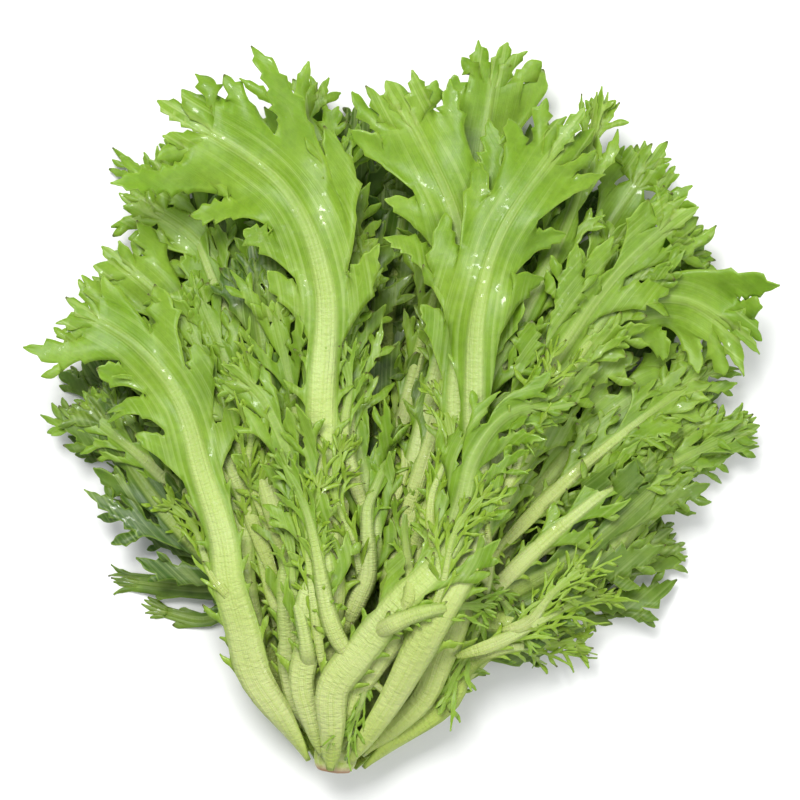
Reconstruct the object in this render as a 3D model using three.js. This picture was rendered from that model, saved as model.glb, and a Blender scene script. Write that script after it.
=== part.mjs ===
// A head of curly endive as picked, lying on its side. Its crown points to -Y, its leaf tips fan out
// towards +Y, and +Z is up. Millimetres. The origin is the flat spot that the head rests on.
//
// The head is one short crown and its leaves. A leaf is a fleshy rib with a thin blade, cut to the rib
// in pointed lobes. The leaves are laid from the lowest to the highest, each on those already there.

import * as THREE from "three";

// Driving dimensions
const CROWN_X = -27; // centre of the cut end of the crown
const CROWN_Y = -150;
const HEAD_LEAN = 0.13; // the head leans to +X, radians from +Y
const CROWN_LENGTH = 26;
const CROWN_PROFILE = [[0, 6.4], [2.5, 8.3], [9, 9], [16, 7.6], [22, 4.8], [25, 2.4], [26, 0]];
const NECK_AHEAD = 36; // from the cut end to the neck, where the leaf bases stand in a round bundle
const BASE_SPACING = 2.9; // a leaf's share of the bundle where it leaves the crown: a disc of this radius
const NECK_SPACING = [6, 3.9]; // its share at the neck, across and up
const AXIS_HEIGHT = 22.5; // of the bundle's axis above the table at the neck
const OPEN_AHEAD = 70; // from the cut end to where the ribs part
const OPEN_GROWTH = [2, 1.25]; // of the bundle from the neck until there, across and up
const AIM = 0.9; // share by which a rib turns from the neck straight to its own path
const RIB_PITCH = [2.3, 1.6]; // least distance of two leaf bases, across and up, in shares
const BASE_TURN = 1; // radians, the most that a leaf base leans against the crown
const BUNDLE_ROW = 6; // leaves side by side in the bundle
const BLADE_THICK = 0.9;
const RIB_DEPTH = 0.36; // of a rib's width
const LEAF_GAP = 0.35; // kept free between two leaves

// The leaves that show from above, each by the plan of its rib, from where the ribs part to the tip.
// open: share of the length where the blade opens. reach: how far its longest lobes stand out there.
// web: share of that which isn't cut. rib: greatest width of the rib. lobes: pairs of lobes.
// tip: height that the tip would hold by itself.
const SHOWN_LEAVES = [
  { name: "left_low_strap", path: [[-78, -90], [-106, -85]],
    open: 0.3, reach: 9, web: 0.14, rib: 7, lobes: 5, tip: -2 },
  { name: "left_strap", path: [[-86, -77], [-119, -74]],
    open: 0.3, reach: 9, web: 0.34, rib: 7, lobes: 5, tip: -2 },
  { name: "right_low", path: [[38, -84], [62, -86], [92, -81]],
    open: 0.35, reach: 13, web: 0.24, rib: 9, lobes: 6, tip: -4 },
  { name: "left_under", path: [[-76, -54], [-92, -24], [-118, -2]],
    open: 0.35, reach: 20, web: 0.26, rib: 10, lobes: 6, tip: -3 },
  { name: "right_long", path: [[62, -74], [88, -60], [104, -36], [120, -20], [148, -8]],
    open: 0.5, reach: 17, web: 0.14, rib: 10, lobes: 8, tip: 14 },
  { name: "left_back", path: [[-54, -40], [-62, 20], [-80, 62], [-112, 84]],
    open: 0.5, reach: 24, web: 0.26, rib: 10, lobes: 7, tip: 18 },
  { name: "top_right", path: [[22, -44], [50, 10], [82, 66], [108, 104]],
    open: 0.5, reach: 24, web: 0.24, rib: 10, lobes: 7, tip: 16 },
  { name: "right_low_fan", path: [[46, -52], [72, -18], [100, 4], [126, 12]],
    open: 0.5, reach: 23, web: 0.26, rib: 10, lobes: 7, tip: 18 },
  { name: "top_peak", path: [[4, -40], [20, 30], [32, 92], [41, 148]],
    open: 0.6, reach: 30, web: 0.32, rib: 10, lobes: 8, tip: 24 },
  { name: "right_high", path: [[36, -48], [62, 0], [96, 44], [128, 66]],
    open: 0.45, reach: 22, web: 0.24, rib: 10, lobes: 7, tip: 22 },
  { name: "left_wide", path: [[-64, -40], [-78, 4], [-96, 40], [-122, 62]],
    open: 0.45, reach: 26, web: 0.26, rib: 10, lobes: 8, tip: 22 },
  { name: "top_left", path: [[-28, -30], [-30, 40], [-36, 92], [-42, 133]],
    open: 0.5, reach: 25, web: 0.24, rib: 10, lobes: 8, tip: 24 },
  { name: "right_fan", path: [[30, -52], [44, -14], [62, 18], [86, 36], [114, 40], [144, 20]],
    open: 0.5, reach: 28, web: 0.32, rib: 11, lobes: 8, tip: 28 },
  { name: "centre_left_fork", path: [[-44, -54], [-47, -28], [-54, 2]],
    open: 0.4, reach: 16, web: 0.14, rib: 9, lobes: 7, tip: 36 },
  { name: "narrow_right", path: [[16, -40], [44, 24], [68, 74], [82, 125]],
    open: 0.55, reach: 14, web: 0.24, rib: 9, lobes: 7, tip: 30 },
  { name: "centre_fork", path: [[-12, -60], [-12, -44], [-17, -20], [-24, 20]],
    open: 0.42, reach: 18, web: 0.14, rib: 10, lobes: 7, tip: 38 },
  { name: "right_crossing", path: [[24, -50], [42, -12], [64, 20], [88, 52], [120, 80]],
    open: 0.45, reach: 24, web: 0.14, rib: 11, lobes: 8, tip: 36 },
  { name: "left_long", path: [[-70, -56], [-79, -28], [-88, 0], [-106, 22], [-136, 40]],
    open: 0.45, reach: 28, web: 0.26, rib: 12, lobes: 8, tip: 34 },
  { name: "fan_right", path: [[30, -52], [29, 0], [31, 36], [40, 66], [72, 112]],
    open: 0.55, reach: 28, web: 0.34, rib: 11, lobes: 8, tip: 42 },
  { name: "front_crossing", path: [[-30, -68], [-37, -44], [-44, -22], [-54, 0], [-68, 14]],
    open: 0.35, reach: 18, web: 0.14, rib: 9, lobes: 7, tip: 50 },
  { name: "fan_left", path: [[26, -50], [23, 0], [26, 36], [22, 72], [-5, 128]],
    open: 0.55, reach: 32, web: 0.34, rib: 12, lobes: 8, tip: 46 },
  { name: "centre_left_fan", path: [[-30, -50], [-31, 0], [-30, 46], [-46, 84], [-94, 117]],
    open: 0.55, reach: 36, web: 0.36, rib: 13, lobes: 8, tip: 44 },
  { name: "front_stalk", path: [[18, -60], [24, -42], [29, -22], [42, -6], [66, 0]],
    open: 0.4, reach: 20, web: 0.14, rib: 12, lobes: 8, tip: 50 },
];

// The lowest leaf, which the head rests on, passes over the origin.
const LOWEST_LEAF = { name: "lowest", path: [[-9, -50], [0, 0], [6, 50], [8, 98]],
  open: 0.5, reach: 22, web: 0.26, rib: 12, lobes: 7, tip: -6 };

// The leaves under them, laid by rule: across the fan by steps of the golden ratio, from low to high.
const UNDER_COUNT = 13;
const UNDER_LENGTH = 258;
const UNDER_HALF_ANGLE = 0.82; // radians
const UNDER_LEAF = { open: 0.42, reach: 24, web: 0.14, rib: 10, lobes: 6 };
const GOLDEN_RATIO = 0.6180339887;
const GOLDEN_ANGLE = 2.39996323;

// Shape of every leaf, by its share t of the way along the rib, or s of the way along its open blade
const BARE_UNTIL = 0.2;
const LOBED_UNTIL = 0.92;
const RIB_WIDTH = [[0, 0.42], [0.06, 0.6], [0.16, 0.94], [0.25, 1], [0.5, 0.72], [0.8, 0.34], [1, 0.1]];
const OPEN_REACH = [[0, 0.34], [0.2, 0.75], [0.5, 1], [1, 0.85]];
const FRINGE_REACH = 0.22; // of the full reach, below the open blade
const FRINGE_WEB = 0.03;
const SLIM_LOBE = 0.45; // half a lobe's width is at most this share of how far it stands out

const fract = (x) => x - Math.floor(x);
// A fixed draw from 0 to 1 for one feature of one leaf
const draw = (leaf, feature) => fract(Math.sin(leaf * 12.9898 + feature * 78.233) * 43758.5453);
const mix = (a, b, share) => a + (b - a) * share;
const smooth = (low, high, x) => {
  const share = Math.min(1, Math.max(0, (x - low) / (high - low)));
  return share * share * (3 - 2 * share);
};
const along = (table, t) => {
  const next = table.findIndex(([at]) => at >= t);
  if (next === 0) return table[0][1];
  if (next < 0) return table[table.length - 1][1];
  const [t0, v0] = table[next - 1];
  const [t1, v1] = table[next];
  return mix(v0, v1, (t - t0) / (t1 - t0));
};

// A point of the plan, measured from the cut end along and across the head's axis
const fromCrown = (ahead, across) => [
  CROWN_X + ahead * Math.sin(HEAD_LEAN) + across * Math.cos(HEAD_LEAN),
  CROWN_Y + ahead * Math.cos(HEAD_LEAN) - across * Math.sin(HEAD_LEAN),
];

function underLeaf(k) {
  const lean = mix(-1, 1, fract(0.5 + k * GOLDEN_RATIO)) * UNDER_HALF_ANGLE;
  const length = UNDER_LENGTH * (1 - 0.3 * Math.abs(lean)) * mix(0.8, 1, draw(k, 1));
  const path = [0.45, 0.7, 1].map((share) => {
    const angle = lean * smooth(-0.3, 0.7, share) + 0.1 * (draw(k, 2) - 0.5);
    return fromCrown(length * share * Math.cos(angle), length * share * Math.sin(angle));
  });
  const tip = mix(2, 24, k / UNDER_COUNT);
  return { ...UNDER_LEAF, name: "under_" + String(k + 1).padStart(2, "0"), path, tip };
}

// All leaves by rows from the table up, in the order across the fan that each row is given
const under = (first, last) => Array.from({ length: last - first + 1 }, (_, k) => underLeaf(first + k));
const LEAVES = [
  LOWEST_LEAF,
  under(1, 1)[0],
  ...SHOWN_LEAVES.slice(0, 4),
  ...under(2, 7),
  ...SHOWN_LEAVES.slice(4, 7),
  ...under(8, 10),
  ...SHOWN_LEAVES.slice(7, 11),
  ...under(11, 12),
  ...SHOWN_LEAVES.slice(11),
];

// Pushes apart those places that are too near for two ribs, which are wider than deep
function spreadPlaces(places) {
  for (let pass = 0; pass < 80; pass++) {
    places.forEach((a, i) => {
      for (const b of places.slice(i + 1)) {
        const across = b.across - a.across;
        const up = b.up - a.up;
        const near = Math.hypot(across / RIB_PITCH[0], up / RIB_PITCH[1]);
        if (near >= 1) continue;
        const push = 0.25 * (1 - near);
        a.across -= push * across;
        b.across += push * across;
        a.up -= push * up;
        b.up += push * up;
      }
    });
  }
}

// The leaf bases stand in the bundle as seeds do in a flower head. The lowest leaf has the lowest
// place. Row by row above it, the places go to the leaves in their order across the fan.
function bundlePlaces() {
  const places = LEAVES.map((_, n) => {
    const out = Math.sqrt(n + 0.5);
    return { n, out, across: out * Math.sin(n * GOLDEN_ANGLE), up: out * Math.cos(n * GOLDEN_ANGLE) };
  });
  spreadPlaces(places);
  places.sort((a, b) => a.up - b.up);
  const lean = ({ path: [[x, y]] }) => Math.atan2(x - CROWN_X, y - CROWN_Y);
  const result = [places[0]];
  for (let first = 1; first < LEAVES.length; first += BUNDLE_ROW) {
    const row = places.slice(first, first + BUNDLE_ROW).sort((a, b) => a.across - b.across);
    const leaves = row.map((_, k) => first + k).sort((a, b) => lean(LEAVES[a]) - lean(LEAVES[b]));
    leaves.forEach((leaf, k) => {
      result[leaf] = row[k];
    });
  }
  return result;
}
const PLACES = bundlePlaces();

// Where a leaf's base is, so far ahead of the cut end
function basePoint({ n, out, across, up }, ahead) {
  const inner = LEAVES.length * Math.max(0, 1 - ahead / CROWN_LENGTH);
  const core = (along(CROWN_PROFILE, ahead) + 2) * smooth(CROWN_LENGTH + 6, CROWN_LENGTH - 4, ahead);
  const share = Math.max(0, n + 0.5 - inner);
  const parted = smooth(NECK_AHEAD - 12, OPEN_AHEAD + 20, ahead) / smooth(NECK_AHEAD - 12, OPEN_AHEAD + 20, OPEN_AHEAD);
  const [wide, high] = NECK_SPACING.map((neck, k) => {
    const spacing = mix(BASE_SPACING, neck, smooth(0, NECK_AHEAD, ahead)) * mix(1, OPEN_GROWTH[k], parted);
    return Math.sqrt(core ** 2 + spacing ** 2 * share) / out;
  });
  const [x, y] = fromCrown(ahead, wide * across);
  const axis = AXIS_HEIGHT * mix(1, OPEN_GROWTH[1], parted);
  return new THREE.Vector3(x, y, axis + high * up);
}

// The rib's centre line, with the turn of the blade about it
function ribLine(leaf, index) {
  const place = PLACES[index];
  const start = 1 + (CROWN_LENGTH - 2) * (1 - (place.n + 0.5) / LEAVES.length);
  const stops = [start, mix(start, NECK_AHEAD, 0.5), NECK_AHEAD, mix(NECK_AHEAD, OPEN_AHEAD, 0.5), OPEN_AHEAD];
  const points = stops.map((ahead) => basePoint(place, ahead));
  const neck = points[2].clone();
  const [firstX, firstY] = leaf.path[0];
  for (const point of points.slice(3)) {
    const straight = mix(neck.x, firstX, (point.y - neck.y) / (firstY - neck.y));
    point.x = mix(point.x, straight, AIM * smooth(0, 12, firstY - point.y));
  }
  const opened = points[points.length - 1].z;
  leaf.path.forEach(([x, y], k) => {
    const share = (k + 1) / leaf.path.length;
    points.push(new THREE.Vector3(x, y, mix(opened, leaf.tip, smooth(0, 1, share))));
  });
  const curve = new THREE.CatmullRomCurve3(points, false, "centripetal");
  const side = Math.atan2(place.across, place.up);
  const faceUp = Math.cos(side) > -0.2 ? 0 : Math.PI * Math.sign(side || 1);
  const around = faceUp + Math.max(-BASE_TURN, Math.min(BASE_TURN, side - faceUp));
  return { curve, length: curve.getLength(), start, around, faceUp };
}

// One leaf in the flat: points (u across, v along the rib, thick), the triangles of a face, the rim
function flatLeaf(leaf, index, length) {
  const points = [];
  const faces = [];
  const add = (u, v, thick) => points.push({ u, v, thick }) - 1;
  const opening = (t) => (t - leaf.open) / (LOBED_UNTIL - leaf.open);
  const ribHalf = (t) => 0.5 * leaf.rib * along(RIB_WIDTH, t);
  const reachAt = (t) => leaf.reach * (t < leaf.open ? FRINGE_REACH : along(OPEN_REACH, opening(t)));
  const webAt = (t) => leaf.reach * mix(FRINGE_WEB, leaf.web, smooth(-0.1, 0.6, opening(t)));
  const stations = [0, 0.06, 0.12];
  for (let k = 0; k <= leaf.lobes; k++) stations.push(mix(BARE_UNTIL, LOBED_UNTIL, k / leaf.lobes));
  const spine = stations.map((t) => {
    const half = ribHalf(t);
    const depth = Math.max(BLADE_THICK, 2 * half * RIB_DEPTH);
    const edge = Math.max(BLADE_THICK, depth * 0.5);
    return {
      t,
      centre: add(0, t * length, depth),
      left: add(-half, t * length, edge),
      right: add(half, t * length, edge),
    };
  });
  for (let k = 1; k < spine.length; k++) {
    const a = spine[k - 1];
    const b = spine[k];
    faces.push([a.left, a.centre, b.centre], [a.left, b.centre, b.left]);
    faces.push([a.centre, a.right, b.right], [a.centre, b.right, b.centre]);
  }
  const rims = {};
  const last = spine[spine.length - 1];
  const end = reachAt(LOBED_UNTIL);
  const tip = add(0, length, BLADE_THICK);
  for (const side of ["left", "right"]) {
    const sign = side === "left" ? -1 : 1;
    const turn = (a, b, c) => faces.push(sign > 0 ? [a, b, c] : [a, c, b]);
    const margins = spine.slice(3).map(({ t }, k) => {
      const web = webAt(t) * mix(0.8, 1.2, draw(index, 11 + k * 2 + sign)) + 0.5;
      return add(sign * (ribHalf(t) + web), t * length + 0.45 * web, BLADE_THICK);
    });
    turn(spine[2][side], margins[0], spine[3][side]);
    const rim = spine.slice(0, 3).map((s) => s[side]);
    rim.push(margins[0]);
    for (let k = 0; k < leaf.lobes; k++) {
      turn(spine[k + 3][side], margins[k], margins[k + 1]);
      turn(spine[k + 3][side], margins[k + 1], spine[k + 4][side]);
      const from = points[margins[k]];
      const to = points[margins[k + 1]];
      const t = (from.v + to.v) / 2 / length;
      const base = Math.abs(from.u + to.u) / 2;
      const out = (reachAt(t) + ribHalf(t) - base) * mix(0.7, 1.25, draw(index, 31 + k * 2 + sign)) + 2;
      const lean = mix(1.0, 0.55, t) + 0.25 * (draw(index, 61 + k * 2 + sign) - 0.5);
      const share = mix(0.16, 0.26, draw(index, 91 + k * 2 + sign));
      const width = Math.min((to.v - from.v) * share, SLIM_LOBE * out * Math.tan(lean));
      const place = (ahead, back) =>
        add(
          sign * (base + ahead * out * Math.sin(lean) + back * width * Math.cos(lean)),
          (from.v + to.v) / 2 + ahead * out * Math.cos(lean) - back * width * Math.sin(lean),
          BLADE_THICK,
        );
      const lower = place(0.5, 1);
      const point = place(1, 0);
      const upper = place(0.55, -1);
      turn(margins[k], lower, upper);
      turn(lower, point, upper);
      turn(margins[k], upper, margins[k + 1]);
      rim.push(lower, point, upper, margins[k + 1]);
    }
    const horn = add(sign * end * 0.6, length * mix(0.95, 0.985, draw(index, 121 + sign)) + 2, BLADE_THICK);
    const notch = add(sign * end * 0.26, length * 0.955, BLADE_THICK);
    turn(margins[leaf.lobes], horn, notch);
    turn(last[side], margins[leaf.lobes], notch);
    turn(last[side], notch, tip);
    turn(last.centre, last[side], tip);
    rim.push(horn, notch);
    rims[side] = rim;
  }
  return { points, faces, rim: [spine[0].centre, ...rims.right, tip, ...rims.left.reverse()] };
}

// The leaf in space: for each flat point, its middle and half its thickness along the blade's normal
function bentLeaf(leaf, index) {
  const { curve, length, start, around, faceUp } = ribLine(leaf, index);
  const flat = flatLeaf(leaf, index, length);
  const cup = mix(-0.003, 0.005, draw(index, 3));
  const waves = mix(2.5, 4.5, draw(index, 4));
  const skins = flat.points.map(({ u, v, thick }) => {
    const inside = Math.min(1, Math.max(0, v / length));
    const ahead = curve.getTangentAt(inside);
    const centre = curve.getPointAt(inside).addScaledVector(ahead, v - inside * length);
    const sideways = new THREE.Vector3(ahead.y, -ahead.x, 0).normalize();
    const upward = new THREE.Vector3().crossVectors(sideways, ahead);
    const own = 0.5 * (draw(index, 5) - 0.5) * smooth(80, 160, v);
    const roll = mix(around, faceUp, smooth(4, NECK_AHEAD, start + v)) + own;
    const across = sideways.clone().multiplyScalar(Math.cos(roll)).addScaledVector(upward, -Math.sin(roll));
    const normal = sideways.multiplyScalar(Math.sin(roll)).addScaledVector(upward, Math.cos(roll));
    const wrap = mix(0.04, cup, smooth(0, 80, v));
    const phase = 6.283 * draw(index, u < 0 ? 6 : 7);
    const wave = 0.2 * Math.min(Math.abs(u), leaf.reach) * Math.sin((6.283 * waves * v) / length + phase);
    centre.addScaledVector(across, u).addScaledVector(normal, wave * smooth(50, 110, v) - wrap * u * u);
    centre.z = Math.max(centre.z, (Math.abs(normal.z) * thick) / 2 - 0.02); // pressed flat on the table
    const free = smooth(NECK_AHEAD - 20, OPEN_AHEAD - 26, start + v);
    return { centre, normal: normal.multiplyScalar(thick / 2), free, lift: 0 };
  });
  return { ...flat, skins };
}

// Heights of what already lies on the table, on a fine square grid
const CELL = 1.5;
const FIELD = 400;
const GRID = Math.ceil(FIELD / CELL);
const heights = new Float32Array(GRID * GRID).fill(-FIELD);
const cellOf = (x) => Math.max(1, Math.min(GRID - 2, Math.floor((x + FIELD / 2) / CELL)));

// Calls visit with points spread over both skins of a leaf, as shares of a face's three corners
function overSkins({ faces, skins }, visit) {
  for (const face of faces) {
    const corners = face.map((i) => skins[i]);
    for (const side of [-1, 1]) {
      const [a, b, c] = corners.map((s) => s.centre.clone().addScaledVector(s.normal, side));
      const steps = Math.max(1, Math.ceil(Math.max(a.distanceTo(b), b.distanceTo(c), c.distanceTo(a)) / CELL));
      for (let i = 0; i <= steps; i++) {
        for (let j = 0; j <= steps - i; j++) {
          const shares = [i / steps, j / steps, 1 - (i + j) / steps];
          const x = shares[0] * a.x + shares[1] * b.x + shares[2] * c.x;
          const y = shares[0] * a.y + shares[1] * b.y + shares[2] * c.y;
          const z = shares[0] * a.z + shares[1] * b.z + shares[2] * c.z;
          visit(x, y, z, face, shares);
        }
      }
    }
  }
}

const heldInBundle = ({ skins }, face, shares) =>
  face.reduce((sum, i, n) => sum + shares[n] * skins[i].free, 0) < 0.97;

// Raises the leaf until it lies clear on what is under it. A raised point draws its neighbours up.
const RIB_SLOPE = 0.16;
const BLADE_SLOPE = 0.45;
function layDown(leaf) {
  for (let round = 0; round < 60; round++) {
    const raise = new Float32Array(leaf.skins.length);
    let worst = 0;
    overSkins(leaf, (x, y, z, face, shares) => {
      const lack = heights[cellOf(y) * GRID + cellOf(x)] + LEAF_GAP - z;
      if (lack <= 0 || heldInBundle(leaf, face, shares)) return;
      worst = Math.max(worst, lack);
      const weight = shares[0] ** 2 + shares[1] ** 2 + shares[2] ** 2;
      face.forEach((i, n) => {
        raise[i] = Math.max(raise[i], (lack * shares[n]) / weight);
      });
    });
    if (worst < 0.01) break;
    spreadRaise(leaf, raise);
    leaf.skins.forEach((s, i) => {
      s.centre.z += raise[i] * s.free;
      s.lift += raise[i] * s.free;
    });
  }
  overSkins(leaf, (x, y, z, face, shares) => {
    if (heldInBundle(leaf, face, shares)) return;
    for (let dy = -1; dy <= 1; dy++) {
      for (let dx = -1; dx <= 1; dx++) {
        const cell = (cellOf(y) + dy) * GRID + cellOf(x) + dx;
        heights[cell] = Math.max(heights[cell], z);
      }
    }
  });
}

function spreadRaise({ faces, skins, points }, raise) {
  for (let pass = 0; pass < 4; pass++) {
    for (const face of faces) {
      for (let n = 0; n < 3; n++) {
        const i = face[n];
        const j = face[(n + 1) % 3];
        const slope = points[i].u === 0 && points[j].u === 0 ? RIB_SLOPE : BLADE_SLOPE;
        const drop = slope * skins[i].centre.distanceTo(skins[j].centre);
        const liftI = skins[i].lift + raise[i];
        const liftJ = skins[j].lift + raise[j];
        if (liftI < liftJ - drop) raise[i] += liftJ - drop - liftI;
        if (liftJ < liftI - drop) raise[j] += liftI - drop - liftJ;
      }
    }
  }
}

// The closed solid of a laid leaf: two skins, alike in their triangles, and the rim between them
function leafGeometry({ faces, skins, rim }) {
  const count = skins.length;
  const position = new Float32Array(count * 6);
  skins.forEach(({ centre, normal }, i) => {
    const upper = centre.clone().add(normal);
    const lower = centre.clone().sub(normal);
    upper.z = Math.max(upper.z, normal.z > 0 ? BLADE_THICK : 0);
    lower.z = Math.max(lower.z, normal.z > 0 ? 0 : BLADE_THICK);
    upper.toArray(position, i * 3);
    lower.toArray(position, (count + i) * 3);
  });
  const index = [];
  for (const [a, b, c] of faces) index.push(a, b, c, count + a, count + c, count + b);
  rim.forEach((a, k) => {
    const b = rim[(k + 1) % rim.length];
    index.push(a, count + a, count + b, a, count + b, b);
  });
  const geometry = new THREE.BufferGeometry();
  geometry.setAttribute("position", new THREE.BufferAttribute(position, 3));
  geometry.setIndex(index);
  geometry.computeVertexNormals();
  return geometry;
}

const ribMaterial = new THREE.MeshStandardMaterial({ color: 0x9ec455, roughness: 0.45, metalness: 0 });
const crownMaterial = new THREE.MeshStandardMaterial({ color: 0xc9c48f, roughness: 0.7, metalness: 0 });

// The crown: a short cut stem, widest where the leaves stand round it
function crownMesh() {
  const profile = [[0, 0], ...CROWN_PROFILE.map(([ahead, radius]) => [radius, ahead])];
  const lathe = new THREE.LatheGeometry(profile.map(([r, y]) => new THREE.Vector2(r, y)), 18);
  const mesh = new THREE.Mesh(lathe, crownMaterial);
  mesh.name = "crown";
  mesh.rotation.z = -HEAD_LEAN;
  mesh.position.set(CROWN_X, CROWN_Y, AXIS_HEIGHT);
  return mesh;
}

const head = new THREE.Group();
head.name = "curly_endive_head";
const fromLowest = LEAVES.map((_, index) => index).sort((a, b) => PLACES[a].up - PLACES[b].up);
for (const index of fromLowest) {
  const laid = bentLeaf(LEAVES[index], index);
  layDown(laid);
  const mesh = new THREE.Mesh(leafGeometry(laid), ribMaterial);
  mesh.name = "leaf_" + LEAVES[index].name;
  head.add(mesh);
}
head.add(crownMesh());

export default head;
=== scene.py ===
"""The looks of a head of curly endive that lies on its side.

Each leaf of the frame gets a fine blade, with its teeth, ruffles, fleshy rib and veins, laid where
the plain leaf lies. Narrow leaves, low leaves, small curled leaves of the heart and forked stalks lie
on the plain leaves and fill the gaps among them.
Lengths in the leaf code are millimetres. X is to the right, Y along the head, Z up.
"""

import math
from itertools import product

import bmesh
import bpy
import numpy as np
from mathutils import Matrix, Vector
from mathutils.bvhtree import BVHTree


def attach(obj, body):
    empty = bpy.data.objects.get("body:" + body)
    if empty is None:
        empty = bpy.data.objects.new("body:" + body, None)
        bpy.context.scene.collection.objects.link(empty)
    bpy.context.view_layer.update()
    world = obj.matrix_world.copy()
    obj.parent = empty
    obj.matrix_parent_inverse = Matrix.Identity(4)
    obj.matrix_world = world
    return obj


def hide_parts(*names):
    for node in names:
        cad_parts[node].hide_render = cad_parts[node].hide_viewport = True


bl_info = {
    "name": "Curly Endive Head",
    "version": (1, 0, 0),
    "blender": (4, 5, 0),
    "location": "View3D > Sidebar > Endive",
    "description": "Builds the leaves, heart and cut base of a curly endive, with a plain studio",
    "category": "Add Mesh",
}

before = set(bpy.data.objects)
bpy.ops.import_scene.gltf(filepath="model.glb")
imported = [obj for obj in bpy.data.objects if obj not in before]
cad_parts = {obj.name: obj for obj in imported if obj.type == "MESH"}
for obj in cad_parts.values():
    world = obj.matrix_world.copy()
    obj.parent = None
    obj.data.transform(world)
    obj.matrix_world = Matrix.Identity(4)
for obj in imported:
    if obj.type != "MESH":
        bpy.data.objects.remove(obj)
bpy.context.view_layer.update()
MM = 0.001

# The plan of the head, in the part's own millimetres, as the frame's leaves have it
CROWN_X = -27  # where the cut end is
CROWN_Y = -150
HEAD_LEAN = 0.13  # of the head's axis from Y, in radians
CROWN_LENGTH = 26
CROWN_PROFILE = [[0, 6.4], [2.5, 8.3], [9, 9], [16, 7.6], [22, 4.8], [25, 2.4], [26, 0]]
NECK_AHEAD = 36  # from the cut end to where the bundle of ribs is tightest
BASE_SPACING = 2.9  # of the ribs at the crown
NECK_SPACING = [6, 3.9]  # of the ribs at the neck, across and up
AXIS_HEIGHT = 22.5
OPEN_AHEAD = 70  # from the cut end to where the ribs part
OPEN_GROWTH = [2, 1.25]  # of the spacing by then
AIM = 0.9  # how straight a rib runs from the neck to its first point
RIB_PITCH = [2.3, 1.6]  # least distance of two leaf bases, across and up, in shares
BASE_TURN = 1  # most turn of a base round the bundle, in radians
BUNDLE_ROW = 6  # leaves in one row of the bundle
BLADE_THICK = 0.9
RIB_DEPTH = 0.36  # of a rib's width

# Where each leaf opens, its reach, web and rib, its lobes, the height of its tip, and its rib's plan
LEAF_KEYS = ("name", "open", "reach", "web", "rib", "lobes", "tip", "path")
SHOWN_LEAVES = [dict(zip(LEAF_KEYS, row)) for row in (
    ("left_low_strap", 0.3, 9, 0.14, 7, 5, -2, [[-78, -90], [-106, -85]]),
    ("left_strap", 0.3, 9, 0.34, 7, 5, -2, [[-86, -77], [-119, -74]]),
    ("right_low", 0.35, 13, 0.24, 9, 6, -4, [[38, -84], [62, -86], [92, -81]]),
    ("left_under", 0.35, 20, 0.26, 10, 6, -3, [[-76, -54], [-92, -24], [-118, -2]]),
    ("right_long", 0.5, 17, 0.14, 10, 8, 14, [[62, -74], [88, -60], [104, -36], [120, -20], [148, -8]]),
    ("left_back", 0.5, 24, 0.26, 10, 7, 18, [[-54, -40], [-62, 20], [-80, 62], [-112, 84]]),
    ("top_right", 0.5, 24, 0.24, 10, 7, 16, [[22, -44], [50, 10], [82, 66], [108, 104]]),
    ("right_low_fan", 0.5, 23, 0.26, 10, 7, 18, [[46, -52], [72, -18], [100, 4], [126, 12]]),
    ("top_peak", 0.6, 30, 0.32, 10, 8, 24, [[4, -40], [20, 30], [32, 92], [41, 148]]),
    ("right_high", 0.45, 22, 0.24, 10, 7, 22, [[36, -48], [62, 0], [96, 44], [128, 66]]),
    ("left_wide", 0.45, 26, 0.26, 10, 8, 22, [[-64, -40], [-78, 4], [-96, 40], [-122, 62]]),
    ("top_left", 0.5, 25, 0.24, 10, 8, 24, [[-28, -30], [-30, 40], [-36, 92], [-42, 133]]),
    ("right_fan", 0.5, 28, 0.32, 11, 8, 28,
     [[30, -52], [44, -14], [62, 18], [86, 36], [114, 40], [144, 20]]),
    ("centre_left_fork", 0.4, 16, 0.14, 9, 7, 36, [[-44, -54], [-47, -28], [-54, 2]]),
    ("narrow_right", 0.55, 14, 0.24, 9, 7, 30, [[16, -40], [44, 24], [68, 74], [82, 125]]),
    ("centre_fork", 0.42, 18, 0.14, 10, 7, 38, [[-12, -60], [-12, -44], [-17, -20], [-24, 20]]),
    ("right_crossing", 0.45, 24, 0.14, 11, 8, 36, [[24, -50], [42, -12], [64, 20], [88, 52], [120, 80]]),
    ("left_long", 0.45, 28, 0.26, 12, 8, 34, [[-70, -56], [-79, -28], [-88, 0], [-106, 22], [-136, 40]]),
    ("fan_right", 0.55, 28, 0.34, 11, 8, 42, [[30, -52], [29, 0], [31, 36], [40, 66], [72, 112]]),
    ("front_crossing", 0.35, 18, 0.14, 9, 7, 50, [[-30, -68], [-37, -44], [-44, -22], [-54, 0], [-68, 14]]),
    ("fan_left", 0.55, 32, 0.34, 12, 8, 46, [[26, -50], [23, 0], [26, 36], [22, 72], [-5, 128]]),
    ("centre_left_fan", 0.55, 36, 0.36, 13, 8, 44,
     [[-30, -50], [-31, 0], [-30, 46], [-46, 84], [-94, 117]]),
    ("front_stalk", 0.4, 20, 0.14, 12, 8, 50, [[18, -60], [24, -42], [29, -22], [42, -6], [66, 0]]),
)]
LOWEST_LEAF = dict(name="lowest", path=[[-9, -50], [0, 0], [6, 50], [8, 98]],
                   open=0.5, reach=22, web=0.26, rib=12, lobes=7, tip=-6)
UNDER_COUNT = 13
UNDER_LENGTH = 258
UNDER_HALF_ANGLE = 0.82
UNDER_LEAF = dict(open=0.42, reach=24, web=0.14, rib=10, lobes=6)
GOLDEN_RATIO = 0.6180339887
GOLDEN_ANGLE = 2.39996323

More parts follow.
